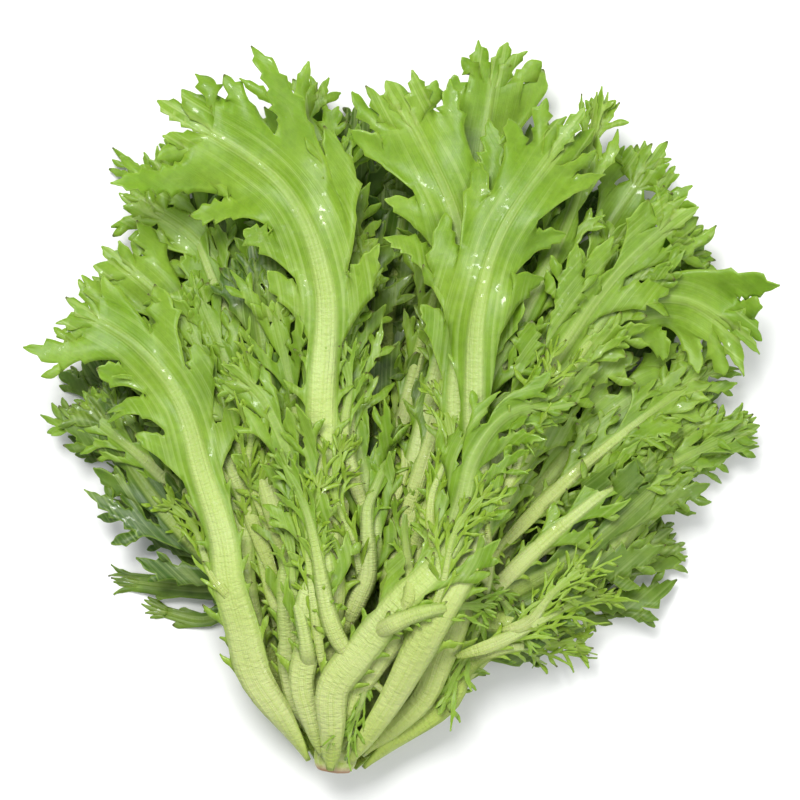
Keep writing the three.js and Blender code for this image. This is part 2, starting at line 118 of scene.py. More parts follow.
# The outline of a plain leaf, by shares of its length
BARE_UNTIL = 0.2
LOBED_UNTIL = 0.92
RIB_WIDTH = [[0, 0.42], [0.06, 0.6], [0.16, 0.94], [0.25, 1], [0.5, 0.72], [0.8, 0.34], [1, 0.1]]
OPEN_REACH = [[0, 0.34], [0.2, 0.75], [0.5, 1], [1, 0.85]]
FRINGE_REACH = 0.22
FRINGE_WEB = 0.03
SLIM_LOBE = 0.45  # half a lobe's width is at most this share of how far it stands out
FULL_TURN = 6.283

# Leaves with narrow lobes that point ahead
NARROW = ("centre_fork", "centre_left_fork", "front_crossing", "front_stalk", "right_long",
          "narrow_right")

# Leaves that end in a broad palm with a few fingers
FANS = ("centre_left_fan", "fan_left", "fan_right", "top_peak", "right_fan", "left_long", "left_wide")

# Narrow leaves between the broad ones
TANGLE_COUNT = 22

# Where the low leaves end that close the gaps between the broad ones
BACK_TIPS = [[-6, 98], [-72, 92], [-20, 120], [78, 92], [60, 112], [-104, 62], [114, 56], [-70, -50],
             [6, 110], [-92, 84], [124, 10], [-100, -30]]

# Pale forked stalks of the middle: the rib, how far the base is sunk, and the plan from there
STALKS = [
    (6, 6, [[-15, -107], [-22, -98], [-27, -88], [-30, -75], [-33, -58], [-38, -40], [-49, -20]]),
    (6, 8, [[-12, -93], [0, -86], [12, -82], [24, -81], [38, -82]]),
    (4.5, 6, [[-2, -86], [4, -76], [3, -62], [2, -48], [6, -36]]),
    (6.5, 5, [[-24, -95], [-17, -80], [-12.5, -68], [-13, -55], [-13, -43], [-9, -33], [-5, -22],
             [-3, -8]]),
    (5, 2, [[-13, -46], [-17, -36], [-20, -24], [-22, -10], [-20, 6], [-24, 22]]),
    (5, 12, [[-35, -112], [-38, -90], [-42, -73], [-43, -58], [-47, -46]]),
    (3, 2, [[34, -48], [35, -71], [30, -94], [22, -111], [17, -125]]),
    (3, 2, [[30, -66], [40, -79], [53, -95]]),
    (2, 2, [[-4, -118], [-12, -112], [-16, -122], [-22, -134]]),
]

# Small leaves of the heart: the reach, the rib, how far above what lies there, and the rib's plan
HEART_LEAVES = [
    (9, 3, 0, [[-30, -110], [-34, -80], [-36, -52], [-30, -28]]),
    (9, 2.6, 0, [[6, -96], [16, -74], [22, -50], [36, -34]]),
    (9, 2.6, 0, [[-14, -84], [-18, -58], [-26, -36], [-22, -14]]),
    (10, 3, 0, [[-44, -96], [-54, -70], [-58, -44], [-52, -20]]),
    (9, 2.6, 0, [[14, -66], [12, -40], [20, -16], [14, 8]]),
    (9, 2.6, 0, [[30, -72], [44, -54], [62, -44], [78, -46]]),
    (9, 2.6, 0, [[-6, -50], [2, -26], [-2, 0], [8, 22]]),
    (10, 2.8, 0, [[34, -46], [46, -26], [50, -4], [62, 14]]),
    (9, 2.6, 0, [[-52, -50], [-60, -28], [-58, -4], [-66, 16]]),
    (13, 4.5, 7, [[22, -102], [42, -95], [60, -86], [84, -76]]),
    (12, 3.5, 5, [[26, -104], [42, -99], [58, -99], [76, -99]]),
    (12, 4, 6, [[40, -92], [52, -88], [60, -78], [74, -66]]),
    (10, 3, 0, [[-62, -84], [-74, -70], [-84, -50], [-96, -40]]),
]


def fract(x):
    return x - math.floor(x)


def draw(leaf, feature):
    """A fixed draw from 0 to 1 for one feature of one leaf."""
    return fract(math.sin(leaf * 12.9898 + feature * 78.233) * 43758.5453)


def mix(a, b, share):
    return a + (b - a) * share


def smooth(low, high, x):
    share = np.clip((np.asarray(x, float) - low) / (high - low), 0, 1)
    return share * share * (3 - 2 * share)


def along(table, t):
    ats, values = zip(*table)
    return np.interp(t, ats, values)


def from_crown(ahead, across):
    """A point of the plan, measured from the cut end along and across the head's axis."""
    return [
        CROWN_X + ahead * math.sin(HEAD_LEAN) + across * math.cos(HEAD_LEAN),
        CROWN_Y + ahead * math.cos(HEAD_LEAN) - across * math.sin(HEAD_LEAN),
    ]


def under_leaf(k):
    """One of the leaves under the ones that show, by its number across the fan."""
    lean = mix(-1, 1, fract(0.5 + k * GOLDEN_RATIO)) * UNDER_HALF_ANGLE
    length = UNDER_LENGTH * (1 - 0.3 * abs(lean)) * mix(0.8, 1, draw(k, 1))
    path = []
    for share in (0.45, 0.7, 1):
        angle = lean * float(smooth(-0.3, 0.7, share)) + 0.1 * (draw(k, 2) - 0.5)
        path.append(from_crown(length * share * math.cos(angle), length * share * math.sin(angle)))
    return dict(UNDER_LEAF, name=f"under_{k + 1:02d}", path=path, tip=mix(2, 24, k / UNDER_COUNT))


UNDER = [under_leaf(k) for k in range(UNDER_COUNT)]
LEAVES = [
    LOWEST_LEAF, UNDER[1],
    *SHOWN_LEAVES[:4], *UNDER[2:8],
    *SHOWN_LEAVES[4:7], *UNDER[8:11],
    *SHOWN_LEAVES[7:11], *UNDER[11:13],
    *SHOWN_LEAVES[11:],
]


def spread_places(places):
    """Pushes apart the places that are too near for two ribs, which are wider than deep."""
    for _ in range(80):
        for i, a in enumerate(places):
            for b in places[i + 1:]:
                across = b["across"] - a["across"]
                up = b["up"] - a["up"]
                near = math.hypot(across / RIB_PITCH[0], up / RIB_PITCH[1])
                if near >= 1:
                    continue
                push = 0.25 * (1 - near)
                a["across"] -= push * across
                b["across"] += push * across
                a["up"] -= push * up
                b["up"] += push * up


def bundle_places():
    """Where each leaf stands in the bundle: as seeds in a flower head, row by row from the table."""
    places = []
    for n in range(len(LEAVES)):
        out = math.sqrt(n + 0.5)
        turn = n * GOLDEN_ANGLE
        places.append(dict(n=n, out=out, across=out * math.sin(turn), up=out * math.cos(turn)))
    spread_places(places)
    places.sort(key=lambda place: place["up"])

    def lean(leaf):
        x, y = LEAVES[leaf]["path"][0]
        return math.atan2(x - CROWN_X, y - CROWN_Y)

    result = {0: places[0]}
    for first in range(1, len(LEAVES), BUNDLE_ROW):
        row = sorted(places[first:first + BUNDLE_ROW], key=lambda place: place["across"])
        leaves = sorted(range(first, first + len(row)), key=lean)
        result.update(zip(leaves, row))
    return result


def base_point(place, ahead):
    """Where a leaf's base is, so far ahead of the cut end."""
    inner = len(LEAVES) * max(0, 1 - ahead / CROWN_LENGTH)
    core = (along(CROWN_PROFILE, ahead) + 2) * smooth(CROWN_LENGTH + 6, CROWN_LENGTH - 4, ahead)
    share = max(0, place["n"] + 0.5 - inner)
    begin, end = NECK_AHEAD - 12, OPEN_AHEAD + 20
    parted = smooth(begin, end, ahead) / smooth(begin, end, OPEN_AHEAD)
    spread = []
    for neck, growth in zip(NECK_SPACING, OPEN_GROWTH):
        spacing = mix(BASE_SPACING, neck, smooth(0, NECK_AHEAD, ahead)) * mix(1, growth, parted)
        spread.append(math.sqrt(core ** 2 + spacing ** 2 * share) / place["out"])
    x, y = from_crown(ahead, spread[0] * place["across"])
    axis = AXIS_HEIGHT * mix(1, OPEN_GROWTH[1], parted)
    return [x, y, axis + spread[1] * place["up"]]


class RibCurve:
    """A smooth centripetal curve through points, met by shares of its length."""

    DIVISIONS = 200
    STEP = 0.0001

    def __init__(self, points):
        self.points = np.array(points, float)
        at = np.linspace(0, 1, self.DIVISIONS + 1)
        steps = np.linalg.norm(np.diff(self.place(at), axis=0), axis=1)
        self.lengths = np.concatenate([[0], np.cumsum(steps)])
        self.length = self.lengths[-1]

    def place(self, t):
        points = self.points
        last = len(points) - 1
        spot = np.clip(np.asarray(t, float), 0, 1) * last
        k = np.minimum(np.floor(spot).astype(int), last - 1)
        w = (spot - k)[:, None]
        extended = np.vstack([2 * points[0] - points[1], points, 2 * points[-1] - points[-2]])
        p0, p1, p2, p3 = (extended[k + n] for n in range(4))
        pairs = ((p0, p1), (p1, p2), (p2, p3))
        d0, d1, d2 = (np.sum((b - a) ** 2, axis=1)[:, None] ** 0.25 for a, b in pairs)
        t1 = ((p1 - p0) / d0 - (p2 - p0) / (d0 + d1) + (p2 - p1) / d1) * d1
        t2 = ((p2 - p1) / d1 - (p3 - p1) / (d1 + d2) + (p3 - p2) / d2) * d1
        return p1 + w * (t1 + w * (-3 * p1 + 3 * p2 - 2 * t1 - t2 + w * (2 * p1 - 2 * p2 + t1 + t2)))

    def share(self, u):
        """The curve's own parameter at a share of its length."""
        at = np.linspace(0, 1, self.DIVISIONS + 1)
        return np.interp(np.asarray(u, float) * self.length, self.lengths, at)

    def tangent(self, u):
        t = self.share(u)
        step = self.place(np.minimum(t + self.STEP, 1)) - self.place(np.maximum(t - self.STEP, 0))
        return step / np.linalg.norm(step, axis=1)[:, None]

    def point(self, u):
        return self.place(self.share(u))


class Leaf:
    """One leaf: its rib line, and how a flat point (u across, v along) comes to lie in space."""

    def __init__(self, spec, index, curve, start, around, face_up):
        self.spec = spec
        self.index = index
        self.curve = curve
        self.length = curve.length
        self.start = start
        self.around = around
        self.face_up = face_up

    @classmethod
    def of_bundle(cls, index, place):
        """A leaf of the frame, from its place in the crown through the neck to its tip."""
        spec = LEAVES[index]
        start = 1 + (CROWN_LENGTH - 2) * (1 - (place["n"] + 0.5) / len(LEAVES))
        half_open = mix(NECK_AHEAD, OPEN_AHEAD, 0.5)
        stops = [start, mix(start, NECK_AHEAD, 0.5), NECK_AHEAD, half_open, OPEN_AHEAD]
        points = [base_point(place, ahead) for ahead in stops]
        neck_x, neck_y, _ = points[2]
        first_x, first_y = spec["path"][0]
        for point in points[3:]:
            straight = mix(neck_x, first_x, (point[1] - neck_y) / (first_y - neck_y))
            point[0] = mix(point[0], straight, AIM * float(smooth(0, 12, first_y - point[1])))
        opened = points[-1][2]
        for k, (x, y) in enumerate(spec["path"]):
            share = (k + 1) / len(spec["path"])
            points.append([x, y, mix(opened, spec["tip"], float(smooth(0, 1, share)))])
        side = math.atan2(place["across"], place["up"])
        face_up = 0 if math.cos(side) > -0.2 else math.copysign(math.pi, side)
        around = face_up + max(-BASE_TURN, min(BASE_TURN, side - face_up))
        return cls(spec, index, RibCurve(points), start, around, face_up)

    def draw(self, feature):
        return draw(self.index, feature)

    def pick(self, low, high, feature):
        """A fixed draw between two values for one feature of this leaf."""
        return mix(low, high, self.draw(feature))

    def opening(self, t):
        return (t - self.spec["open"]) / (LOBED_UNTIL - self.spec["open"])

    def rib_half(self, t):
        return 0.5 * self.spec["rib"] * along(RIB_WIDTH, t)

    def reach_at(self, t):
        reach = FRINGE_REACH if t < self.spec["open"] else along(OPEN_REACH, self.opening(t))
        return self.spec["reach"] * reach

    def web_at(self, t):
        opened = float(smooth(-0.1, 0.6, self.opening(t)))
        return self.spec["reach"] * mix(FRINGE_WEB, self.spec["web"], opened)

    def bend(self, flat, thick=0.0):
        """The place and the blade's normal of each flat point, and how free it is of the bundle."""
        spec, length = self.spec, self.length
        u, v = flat[:, 0], flat[:, 1]
        inside = np.clip(v / length, 0, 1)
        ahead = self.curve.tangent(inside)
        centre = self.curve.point(inside) + ahead * (v - inside * length)[:, None]
        sideways = np.stack([ahead[:, 1], -ahead[:, 0], np.zeros(len(v))], axis=1)
        sideways /= np.linalg.norm(sideways, axis=1)[:, None]
        upward = np.cross(sideways, ahead)
        own = 0.5 * (self.draw(5) - 0.5) * smooth(80, 160, v)
        roll = mix(self.around, self.face_up, smooth(4, NECK_AHEAD, self.start + v)) + own
        cos, sin = np.cos(roll)[:, None], np.sin(roll)[:, None]
        across = sideways * cos - upward * sin
        normal = sideways * sin + upward * cos
        cup = self.pick(-0.003, 0.005, 3)
        waves = self.pick(2.5, 4.5, 4)
        wrap = mix(0.04, cup, smooth(0, 80, v))
        phase = FULL_TURN * np.where(u < 0, self.draw(6), self.draw(7))
        wave = 0.2 * np.minimum(np.abs(u), spec["reach"]) * np.sin(FULL_TURN * waves * v / length + phase)
        rise = wave * smooth(50, 110, v) - wrap * u * u
        centre = centre + across * u[:, None] + normal * rise[:, None]
        centre[:, 2] = np.maximum(centre[:, 2], np.abs(normal[:, 2]) * thick / 2 - 0.02)
        free = smooth(NECK_AHEAD - 20, OPEN_AHEAD - 26, self.start + v)
        return centre, normal, free


# How near a point of the frame's leaf must be, in the plan and in height, and how many must be met
PLAN_ERROR = 0.08
LIFT_ERROR = 0.3
KNOWN_SHARE = 0.6


class Plan:
    """The plain leaf in the flat: stations of the rib, margins between the lobes, lobes and tip."""

    def __init__(self, leaf):
        self.leaf = leaf
        spec, length = leaf.spec, leaf.length
        self.flat = []
        self.thick = []
        lobes = spec["lobes"]
        self.stations = [0, 0.06, 0.12]
        self.stations += [mix(BARE_UNTIL, LOBED_UNTIL, k / lobes) for k in range(lobes + 1)]
        self.spine = []
        for t in self.stations:
            half = leaf.rib_half(t)
            depth = max(BLADE_THICK, 2 * half * RIB_DEPTH)
            edge = max(BLADE_THICK, depth * 0.5)
            self.spine.append({
                0: self.add(0, t * length, depth),
                -1: self.add(-half, t * length, edge),
                1: self.add(half, t * length, edge),
            })
        end = leaf.reach_at(LOBED_UNTIL)
        self.tip = self.add(0, length, BLADE_THICK)
        self.margins, self.lobes, self.horn, self.notch = {}, {}, {}, {}
        for sign in (-1, 1):
            margins = []
            for k, t in enumerate(self.stations[3:]):
                web = leaf.web_at(t) * leaf.pick(0.8, 1.2, 11 + k * 2 + sign) + 0.5
                out = sign * (leaf.rib_half(t) + web)
                margins.append(self.add(out, t * length + 0.45 * web, BLADE_THICK))
            self.margins[sign] = margins
            self.lobes[sign] = [self.lobe(sign, k) for k in range(lobes)]
            far = length * leaf.pick(0.95, 0.985, 121 + sign) + 2
            self.horn[sign] = self.add(sign * end * 0.6, far, BLADE_THICK)
            self.notch[sign] = self.add(sign * end * 0.26, length * 0.955, BLADE_THICK)
        self.flat = np.array(self.flat, float)
        self.thick = np.array(self.thick, float)
        self.lift = np.zeros(len(self.flat))

    def add(self, u, v, thick):
        self.flat.append((u, v))
        self.thick.append(thick)
        return len(self.flat) - 1

    def lobe(self, sign, k):
        leaf = self.leaf
        low, high = self.flat[self.margins[sign][k]], self.flat[self.margins[sign][k + 1]]
        middle = (low[1] + high[1]) / 2
        t = middle / leaf.length
        base = abs(low[0] + high[0]) / 2
        feature = k * 2 + sign
        out = (leaf.reach_at(t) + leaf.rib_half(t) - base) * leaf.pick(0.7, 1.25, 31 + feature) + 2
        lean = mix(1.0, 0.55, t) + 0.25 * (leaf.draw(61 + feature) - 0.5)
        width = (high[1] - low[1]) * leaf.pick(0.16, 0.26, 91 + feature)
        width = min(width, SLIM_LOBE * out * math.tan(lean))

        def place(share, back):
            return self.add(
                sign * (base + share * out * math.sin(lean) + back * width * math.cos(lean)),
                middle + share * out * math.cos(lean) - back * width * math.sin(lean),
                BLADE_THICK,
            )

        return place(0.5, 1), place(1, 0), place(0.55, -1)

    def settle(self, node):
        """Takes from the frame's leaf how far each point was raised by the leaves under it."""
        cad = np.array([v.co for v in node.data.vertices], float) / MM
        cad = np.unique(np.round(cad, 3), axis=0)
        centre, normal, _ = self.leaf.bend(self.flat, self.thick)
        half = normal * (self.thick / 2)[:, None]
        found = np.full(len(self.flat), np.nan)
        for i, (c, h) in enumerate(zip(centre, half)):
            floors = (BLADE_THICK, 0) if h[2] > 0 else (0, BLADE_THICK)
            best = LIFT_ERROR
            plain = (c + h)[2], (c - h)[2]
            near = [cad[np.hypot(*(cad[:, :2] - skin[:2]).T) < PLAN_ERROR, 2] for skin in (c + h, c - h)]
            for got in product(*near):
                raised = max(got[0] - plain[0], got[1] - plain[1])
                for lift in (0, raised):
                    error = sum(abs(max(z + lift, floor) - g) for z, floor, g in zip(plain, floors, got))
                    if error < best and lift > -0.1:
                        best, found[i] = error, lift
        known = ~np.isnan(found)
        if known.mean() < KNOWN_SHARE:
            raise RuntimeError(f"the leaf {self.leaf.spec['name']} doesn't lie where the frame has it")
        for i in np.where(~known)[0]:
            distance = np.hypot(*(self.flat[known] - self.flat[i]).T)
            found[i] = found[known][np.argmin(distance)]
        self.lift = found
        return int(np.sum(~known))


# How the fine blade is divided, and how it is shaped in millimetres or shares. FAR_OFF is for what
# is away from any vein or edge, EVEN_WIDTH for how far a raised line is evened out.
LOBE_ROWS = 6
WEB_COLUMNS = 3
RIB_COLUMNS = 3
BARE_ROWS = [0, 0.015, 0.03, 0.045, 0.06, 0.075, 0.09, 0.105, 0.12, 0.14, 0.16, 0.18]
FLANGE = 0.35
LEAF_SKIN = 0.55
EVEN_WIDTH = 7.0
FAR_OFF = 9.0
SHEET_VALUES = ("beside", "vein", "edge", "end", "down_leaf", "tone", "wide", "skin")
WELD = 0.01 * MM


class Sheet:
    """The fine blade in the flat, in patches of rows and columns that meet at shared points."""

    def __init__(self, leaf, plan, look):
        self.leaf = leaf
        self.plan = plan
        self.look = look
        self.patches = []
        self.build_middle()
        for sign in (-1, 1):
            for k in range(leaf.spec["lobes"]):
                self.build_lobe(sign, k)
        self.build_end()

    def add(self, flat, lift, rise, beside, vein, edge, end, thick):
        shape = flat.shape[:2]
        fields = (lift, rise, beside, vein, edge, end, thick)
        self.patches.append((flat, *(np.broadcast_to(np.asarray(f, float), shape) for f in fields)))

    def build_middle(self):
        """The rib and the uncut web on both sides of it."""
        leaf, plan, spec = self.leaf, self.plan, self.leaf.spec
        lobes, length = spec["lobes"], leaf.length
        knots = list(BARE_ROWS)
        for k in range(lobes):
            a, b = plan.stations[k + 3], plan.stations[k + 4]
            knots += [mix(a, b, n / LOBE_ROWS) for n in range(LOBE_ROWS)]
        knots.append(plan.stations[-1])
        t = np.array(knots)
        swell = mix(1.05, 0.95, smooth(0.15, 0.45, t))
        half = leaf.rib_half(t) * swell * mix(0.4, 1, smooth(0, 0.04, t))
        lobe = np.clip((t - BARE_UNTIL) / (LOBED_UNTIL - BARE_UNTIL), 0, 1) * lobes
        between = 1 - np.abs(2 * (lobe - np.floor(lobe)) - 1)
        between[-1] = 0
        columns = RIB_COLUMNS + WEB_COLUMNS
        flat = np.zeros((len(t), 2 * columns + 1, 2))
        lift, rise, beside, thick = (np.zeros(flat.shape[:2]) for _ in range(4))
        edge = np.full(flat.shape[:2], FAR_OFF)
        spine_t = np.array(plan.stations)
        raised = {}
        for key in (-1, 0, 1):
            raised[key] = self.even(np.interp(t, spine_t, plan.lift[[s[key] for s in plan.spine]]), t)
        depth = np.maximum(LEAF_SKIN * 1.3, 2 * leaf.rib_half(t) * self.look["depth"])
        self.outer = {}
        for sign in (-1, 1):
            margins = plan.flat[plan.margins[sign]]
            at = np.array(plan.stations[3:])
            out = np.interp(t, at, margins[:, 0] * sign)
            ahead = np.interp(t, at, margins[:, 1])
            notched = smooth(self.look["palm"] - 0.15, self.look["palm"] + 0.15, leaf.opening(t))
            cut = 1 - self.look["cut"] * (1 - between) ** 2.5 * notched
            web = np.maximum((out - half) * cut, FLANGE)
            opened = smooth(0.13, BARE_UNTIL, t)
            web = mix(FLANGE, web, opened)
            forward = (ahead - t * length) * cut * opened
            margin_lift = self.even(np.interp(t, at, plan.lift[plan.margins[sign]]), t)
            margin_lift = mix(raised[sign], margin_lift, opened)
            phase = FULL_TURN * leaf.draw(141 + sign)
            ruffle = self.look["ruffle"] * np.sin(FULL_TURN * t * length / self.look["ruffle_wave"] + phase)
            for n in range(columns + 1):
                c = columns + sign * n
                if n <= RIB_COLUMNS:
                    x = n / RIB_COLUMNS
                    flat[:, c, 0] = sign * half * x
                    flat[:, c, 1] = t * length
                    lift[:, c] = mix(raised[0], raised[sign], x)
                    beside[:, c] = x
                    round_share = 0.3 + 0.7 * math.sqrt(1 - 0.9 * x * x)
                    thick[:, c] = np.maximum(depth * round_share, LEAF_SKIN)
                else:
                    x = (n - RIB_COLUMNS) / WEB_COLUMNS
                    flat[:, c, 0] = sign * (half + web * x)
                    flat[:, c, 1] = t * length + forward * x
                    lift[:, c] = mix(raised[sign], margin_lift, x)
                    beside[:, c] = 1 + web * x / np.maximum(half, 1)
                    thick[:, c] = LEAF_SKIN + 0.3 * depth * np.exp(-web * x)
                    spacing = length * (LOBED_UNTIL - BARE_UNTIL) / lobes
                    edge[:, c] = np.maximum(web * (1 - x), between * spacing / 3)
                    reached = np.minimum(web * x / 8, 1)
                    rise[:, c] = ruffle * reached * opened
            outer = (1 + sign) * columns
            self.outer[sign] = [field[:, outer] for field in (flat, lift, rise, beside)]
        self.middle = (flat, lift, rise, beside)
        self.add(flat, lift, rise, beside, FAR_OFF, edge, 0, thick)

    def even(self, values, t):
        """Rounds off the kinks of a raised line along the leaf."""
        at = t * self.leaf.length
        weight = np.exp(-0.5 * ((at[:, None] - at[None, :]) / EVEN_WIDTH) ** 2)
        return (weight @ values) / weight.sum(axis=1)

    def build_lobe(self, sign, k):
        """A lobe, or two small ones side by side where the blade is still closed."""
        plan, leaf = self.plan, self.leaf
        low, tip, high = plan.lobes[sign][k]
        first = len(BARE_ROWS) + k * LOBE_ROWS
        t = plan.flat[tip][1] / leaf.length
        open_here = smooth(-0.12, 0.12, leaf.opening(t))
        seed = 200 + 40 * k + 20 * (sign > 0)
        base = self.part(self.outer[sign], first, first + LOBE_ROWS)
        pieces = plan.flat[[low, tip, high]], plan.lift[[low, tip, high]]
        if open_here > 0.5 and leaf.opening(t) > self.look["palm"]:
            slim = self.slimmer(pieces[0], seed)
            first, last = (0, LOBE_ROWS) if self.look["flare"] > 0.5 else (1, LOBE_ROWS - 1)
            self.finger(self.part(base, first, last), slim, pieces[1], seed, True)
        elif open_here > 0.5:
            if leaf.draw(seed + 2) < 0.6:
                self.thread(self.part(base, 2, 5), pieces, seed, 0.3)
        else:
            fringe = self.look["fringe"]
            if leaf.draw(seed + 3) < 0.75:
                self.thread(self.part(base, 0, 2), pieces, seed, 1.3 * fringe)
            self.thread(self.part(base, 3, 5), pieces, seed + 7, 0.9 * fringe)

    def slimmer(self, flats, seed):
        """The plain lobe's low side, tip and high side, drawn in to the width of the fine one."""
        middle = (flats[0] + flats[2]) / 2
        slim = self.look["slim"]
        foot = 2 * middle - flats[1]
        forward = self.look["forward"]
        way = (flats[1] - foot) * np.array([1 - forward, 1 + 0.6 * forward])
        tip = foot + way * self.look["reach"] * self.leaf.pick(0.62, 1.38, seed + 13)
        return np.array([mix(middle, flats[0], slim), tip, mix(middle, flats[2], slim)])

    def part(self, base, first, last):
        return [field[first:last + 1] for field in base]

    def thread(self, base, pieces, seed, scale):
        """A slender tooth between the lobes, in about their direction."""
        leaf = self.leaf
        flats, lifts = pieces
        middle = (base[0][0] + base[0][-1]) / 2
        old = (flats[0] + flats[2]) / 2
        ahead = flats[1] - old
        ahead /= np.linalg.norm(ahead)
        turn = 0.5 * (leaf.draw(seed + 1) - 0.5)
        ahead = np.array([
            ahead[0] * math.cos(turn) - ahead[1] * math.sin(turn),
            ahead[0] * math.sin(turn) + ahead[1] * math.cos(turn),
        ])
        out = np.linalg.norm(flats[1] - old) * 2 * scale * leaf.pick(0.5, 1.25, seed + 2)
        out = max(out, 2.5)
        width = min(1.5, 0.5 + out * 0.09)
        tip = middle + ahead * out
        side = np.array([ahead[1], -ahead[0]])
        at_half = middle + ahead * out / 2
        flats = np.array([at_half + side * width, tip, at_half - side * width])
        lift = mix(float(np.mean(base[1])), float(np.mean(lifts)), 0.5)
        self.finger(base, flats, np.array([lift, lift, lift]), seed, False)

    def finger(self, base, flats, lifts, seed, branches):
        """A smooth slender lobe on a row of base points, with smaller ones along its sides."""
        leaf, look = self.leaf, self.look
        points, base_lift, base_rise, base_beside = base
        across = np.linspace(-1, 1, len(points))
        foot = (points[0] + points[-1]) / 2
        ahead = flats[1] - foot
        out = float(np.linalg.norm(ahead))
        ahead = ahead / out
        side = points[-1] - points[0]
        side = side - ahead * (side @ ahead)
        side = side / np.linalg.norm(side)
        width = float(np.linalg.norm(flats[0] - flats[2])) / 2
        rows = int(np.clip(round(out / look["row"]), 4, 28))
        s = np.linspace(0, 1, rows + 1)
        widest = leaf.pick(0.35, 0.6, seed + 3)
        near_tip = np.clip((s - widest) / (1 - widest), 0, 1)
        taper = (1 - near_tip ** 1.8) ** leaf.pick(0.7, 1.1, seed + 4)
        body = np.maximum(width * mix(0.78, 1.0, smooth(0.1, widest, s)) * taper, 0.3)
        uneven = 1 + 0.1 * np.sin(s * out / 2.6 + FULL_TURN * leaf.draw(seed + 5))
        half = (body * uneven)[:, None] * self.teeth(s, out, across, seed)
        reach = np.abs(across)[None, :] * half
        bow = (leaf.draw(seed + 8) - 0.5) * 0.6 * out
        hook = (leaf.draw(seed + 14) - 0.5) * 0.35 * out
        bent = bow * s * (1 - s) + hook * s ** 3
        axis = foot + ahead * (s * out)[:, None] + side * bent[:, None]
        shaped = axis[:, None, :] + side * (across[None, :] * half)[:, :, None]
        plain = points[None, :, :] + ahead * (s * out)[:, None, None]
        root = min(0.4, 3.5 / out + 0.05)
        if branches:
            root = max(root, look["flare"])
        flat = mix(plain, shaped, (1 - (1 - np.clip(s / root, 0, 1)) ** 2.2)[:, None, None])
        flat[0] = points
        middle_lift = mix(lifts[0], lifts[2], (across + 1) / 2)[None, :]
        row = s[:, None]
        lift = base_lift[None, :] * (1 - row) * (1 - 2 * row) + middle_lift * 4 * row * (1 - row)
        lift = lift + lifts[1] * row * (2 * row - 1)
        lift = mix(lift, base_lift[None, :] + (lifts[1] - base_lift[None, :]) * row, 0.5)
        curl = look["curl"] * (leaf.draw(seed + 6) - 0.4) * min(out, 26)
        twist = look["twist"] * (leaf.draw(seed + 7) - 0.5)
        fold = look["fold"] * leaf.pick(0.3, 1.2, seed + 9)
        phase = leaf.draw(seed + 10)
        frill = look["frill"] * np.sin(FULL_TURN * (s * out / look["frill_wave"] + phase))
        rise = base_rise[None, :] * (1 - row) ** 2 + curl * row ** 2
        rise = rise + twist * (across[None, :] * half) * row + fold * reach * row
        rise = rise + frill[:, None] * np.minimum(reach / 3, 1) * row
        vein = reach + 0.25 + 2.2 * row + 2.0 * (1 - smooth(0.05, 0.35, row))
        edge = np.minimum((1 - np.abs(across))[None, :] * half, (1 - row) * out)
        end = np.clip(1 - (1 - row) * out / 1.6, 0, 1) * (leaf.draw(seed + 12) > 0.8) * np.ones_like(edge)
        thick = LEAF_SKIN * mix(1, 0.75, row) + 0.35 * np.maximum(0, 1 - reach / 1.2) * (1 - row)
        beside = base_beside[None, :] + 3 * row
        lift = np.broadcast_to(lift, edge.shape)
        self.add(flat, lift, rise, beside, vein, edge, end, thick)
        if branches and out > look["branch_from"]:
            self.branch(flat, lift, rise, beside, ahead, side, out, seed)

    def teeth(self, s, out, across, seed):
        """How a lobe's two rims step out into small teeth that point forward."""
        leaf, look = self.leaf, self.look
        size = look["teeth"] * leaf.pick(0.3, 1.2, seed + 15) * smooth(4, 12, out)
        fade = smooth(0.1, 0.35, s) * (1 - smooth(0.85, 1, s))
        rims = np.ones((len(s), len(across)))
        for way in (-1, 1):
            wave = leaf.pick(4.5, 8.5, seed + 16 + 0.3 * way)
            ramp = (s * out / wave + leaf.draw(seed + 17 + 0.3 * way)) % 1
            rims[:, way * across > 0] = (1 + size * fade * (ramp ** 1.6 - 0.35))[:, None]
        return rims

    def branch(self, flat, lift, rise, beside, ahead, side, out, seed):
        """Small lobes that leave the sides of a lobe, pointing forward."""
        leaf, look = self.leaf, self.look
        rows = len(flat) - 1
        for way, column in ((-1, 0), (1, -1)):
            count = int(round(out / look["branch_gap"] * leaf.pick(0.4, 1.3, seed + 21 + way)))
            for j in range(min(count, 3)):
                feature = seed + 24 + 3 * j + way
                at = mix(0.24, 0.72, (j + leaf.draw(feature)) / count)
                first = int(round(at * rows))
                last = min(first + 2, rows - 1)
                if last - first < 2:
                    continue
                rim = [field[first:last + 1, column] for field in (flat, lift, rise, beside)]
                length = leaf.pick(0.22, 0.5, feature + 0.5) * out * (1.1 - at) + 1.5
                angle = leaf.pick(0.4, 0.75, feature + 0.7)
                heading = ahead * math.cos(angle) + side * (way * math.sin(angle))
                foot = (rim[0][0] + rim[0][-1]) / 2
                cross = rim[0][-1] - rim[0][0]
                cross = cross / np.linalg.norm(cross)
                half = min(0.14 * length + 0.7, look["branch_half"])
                middle = foot + heading * length / 2
                flats = np.array([middle - cross * half, foot + heading * length, middle + cross * half])
                raised = float(np.mean(rim[1]))
                self.finger(rim, flats, np.array([raised] * 3), seed + 5.5 + 2 * j + way, False)

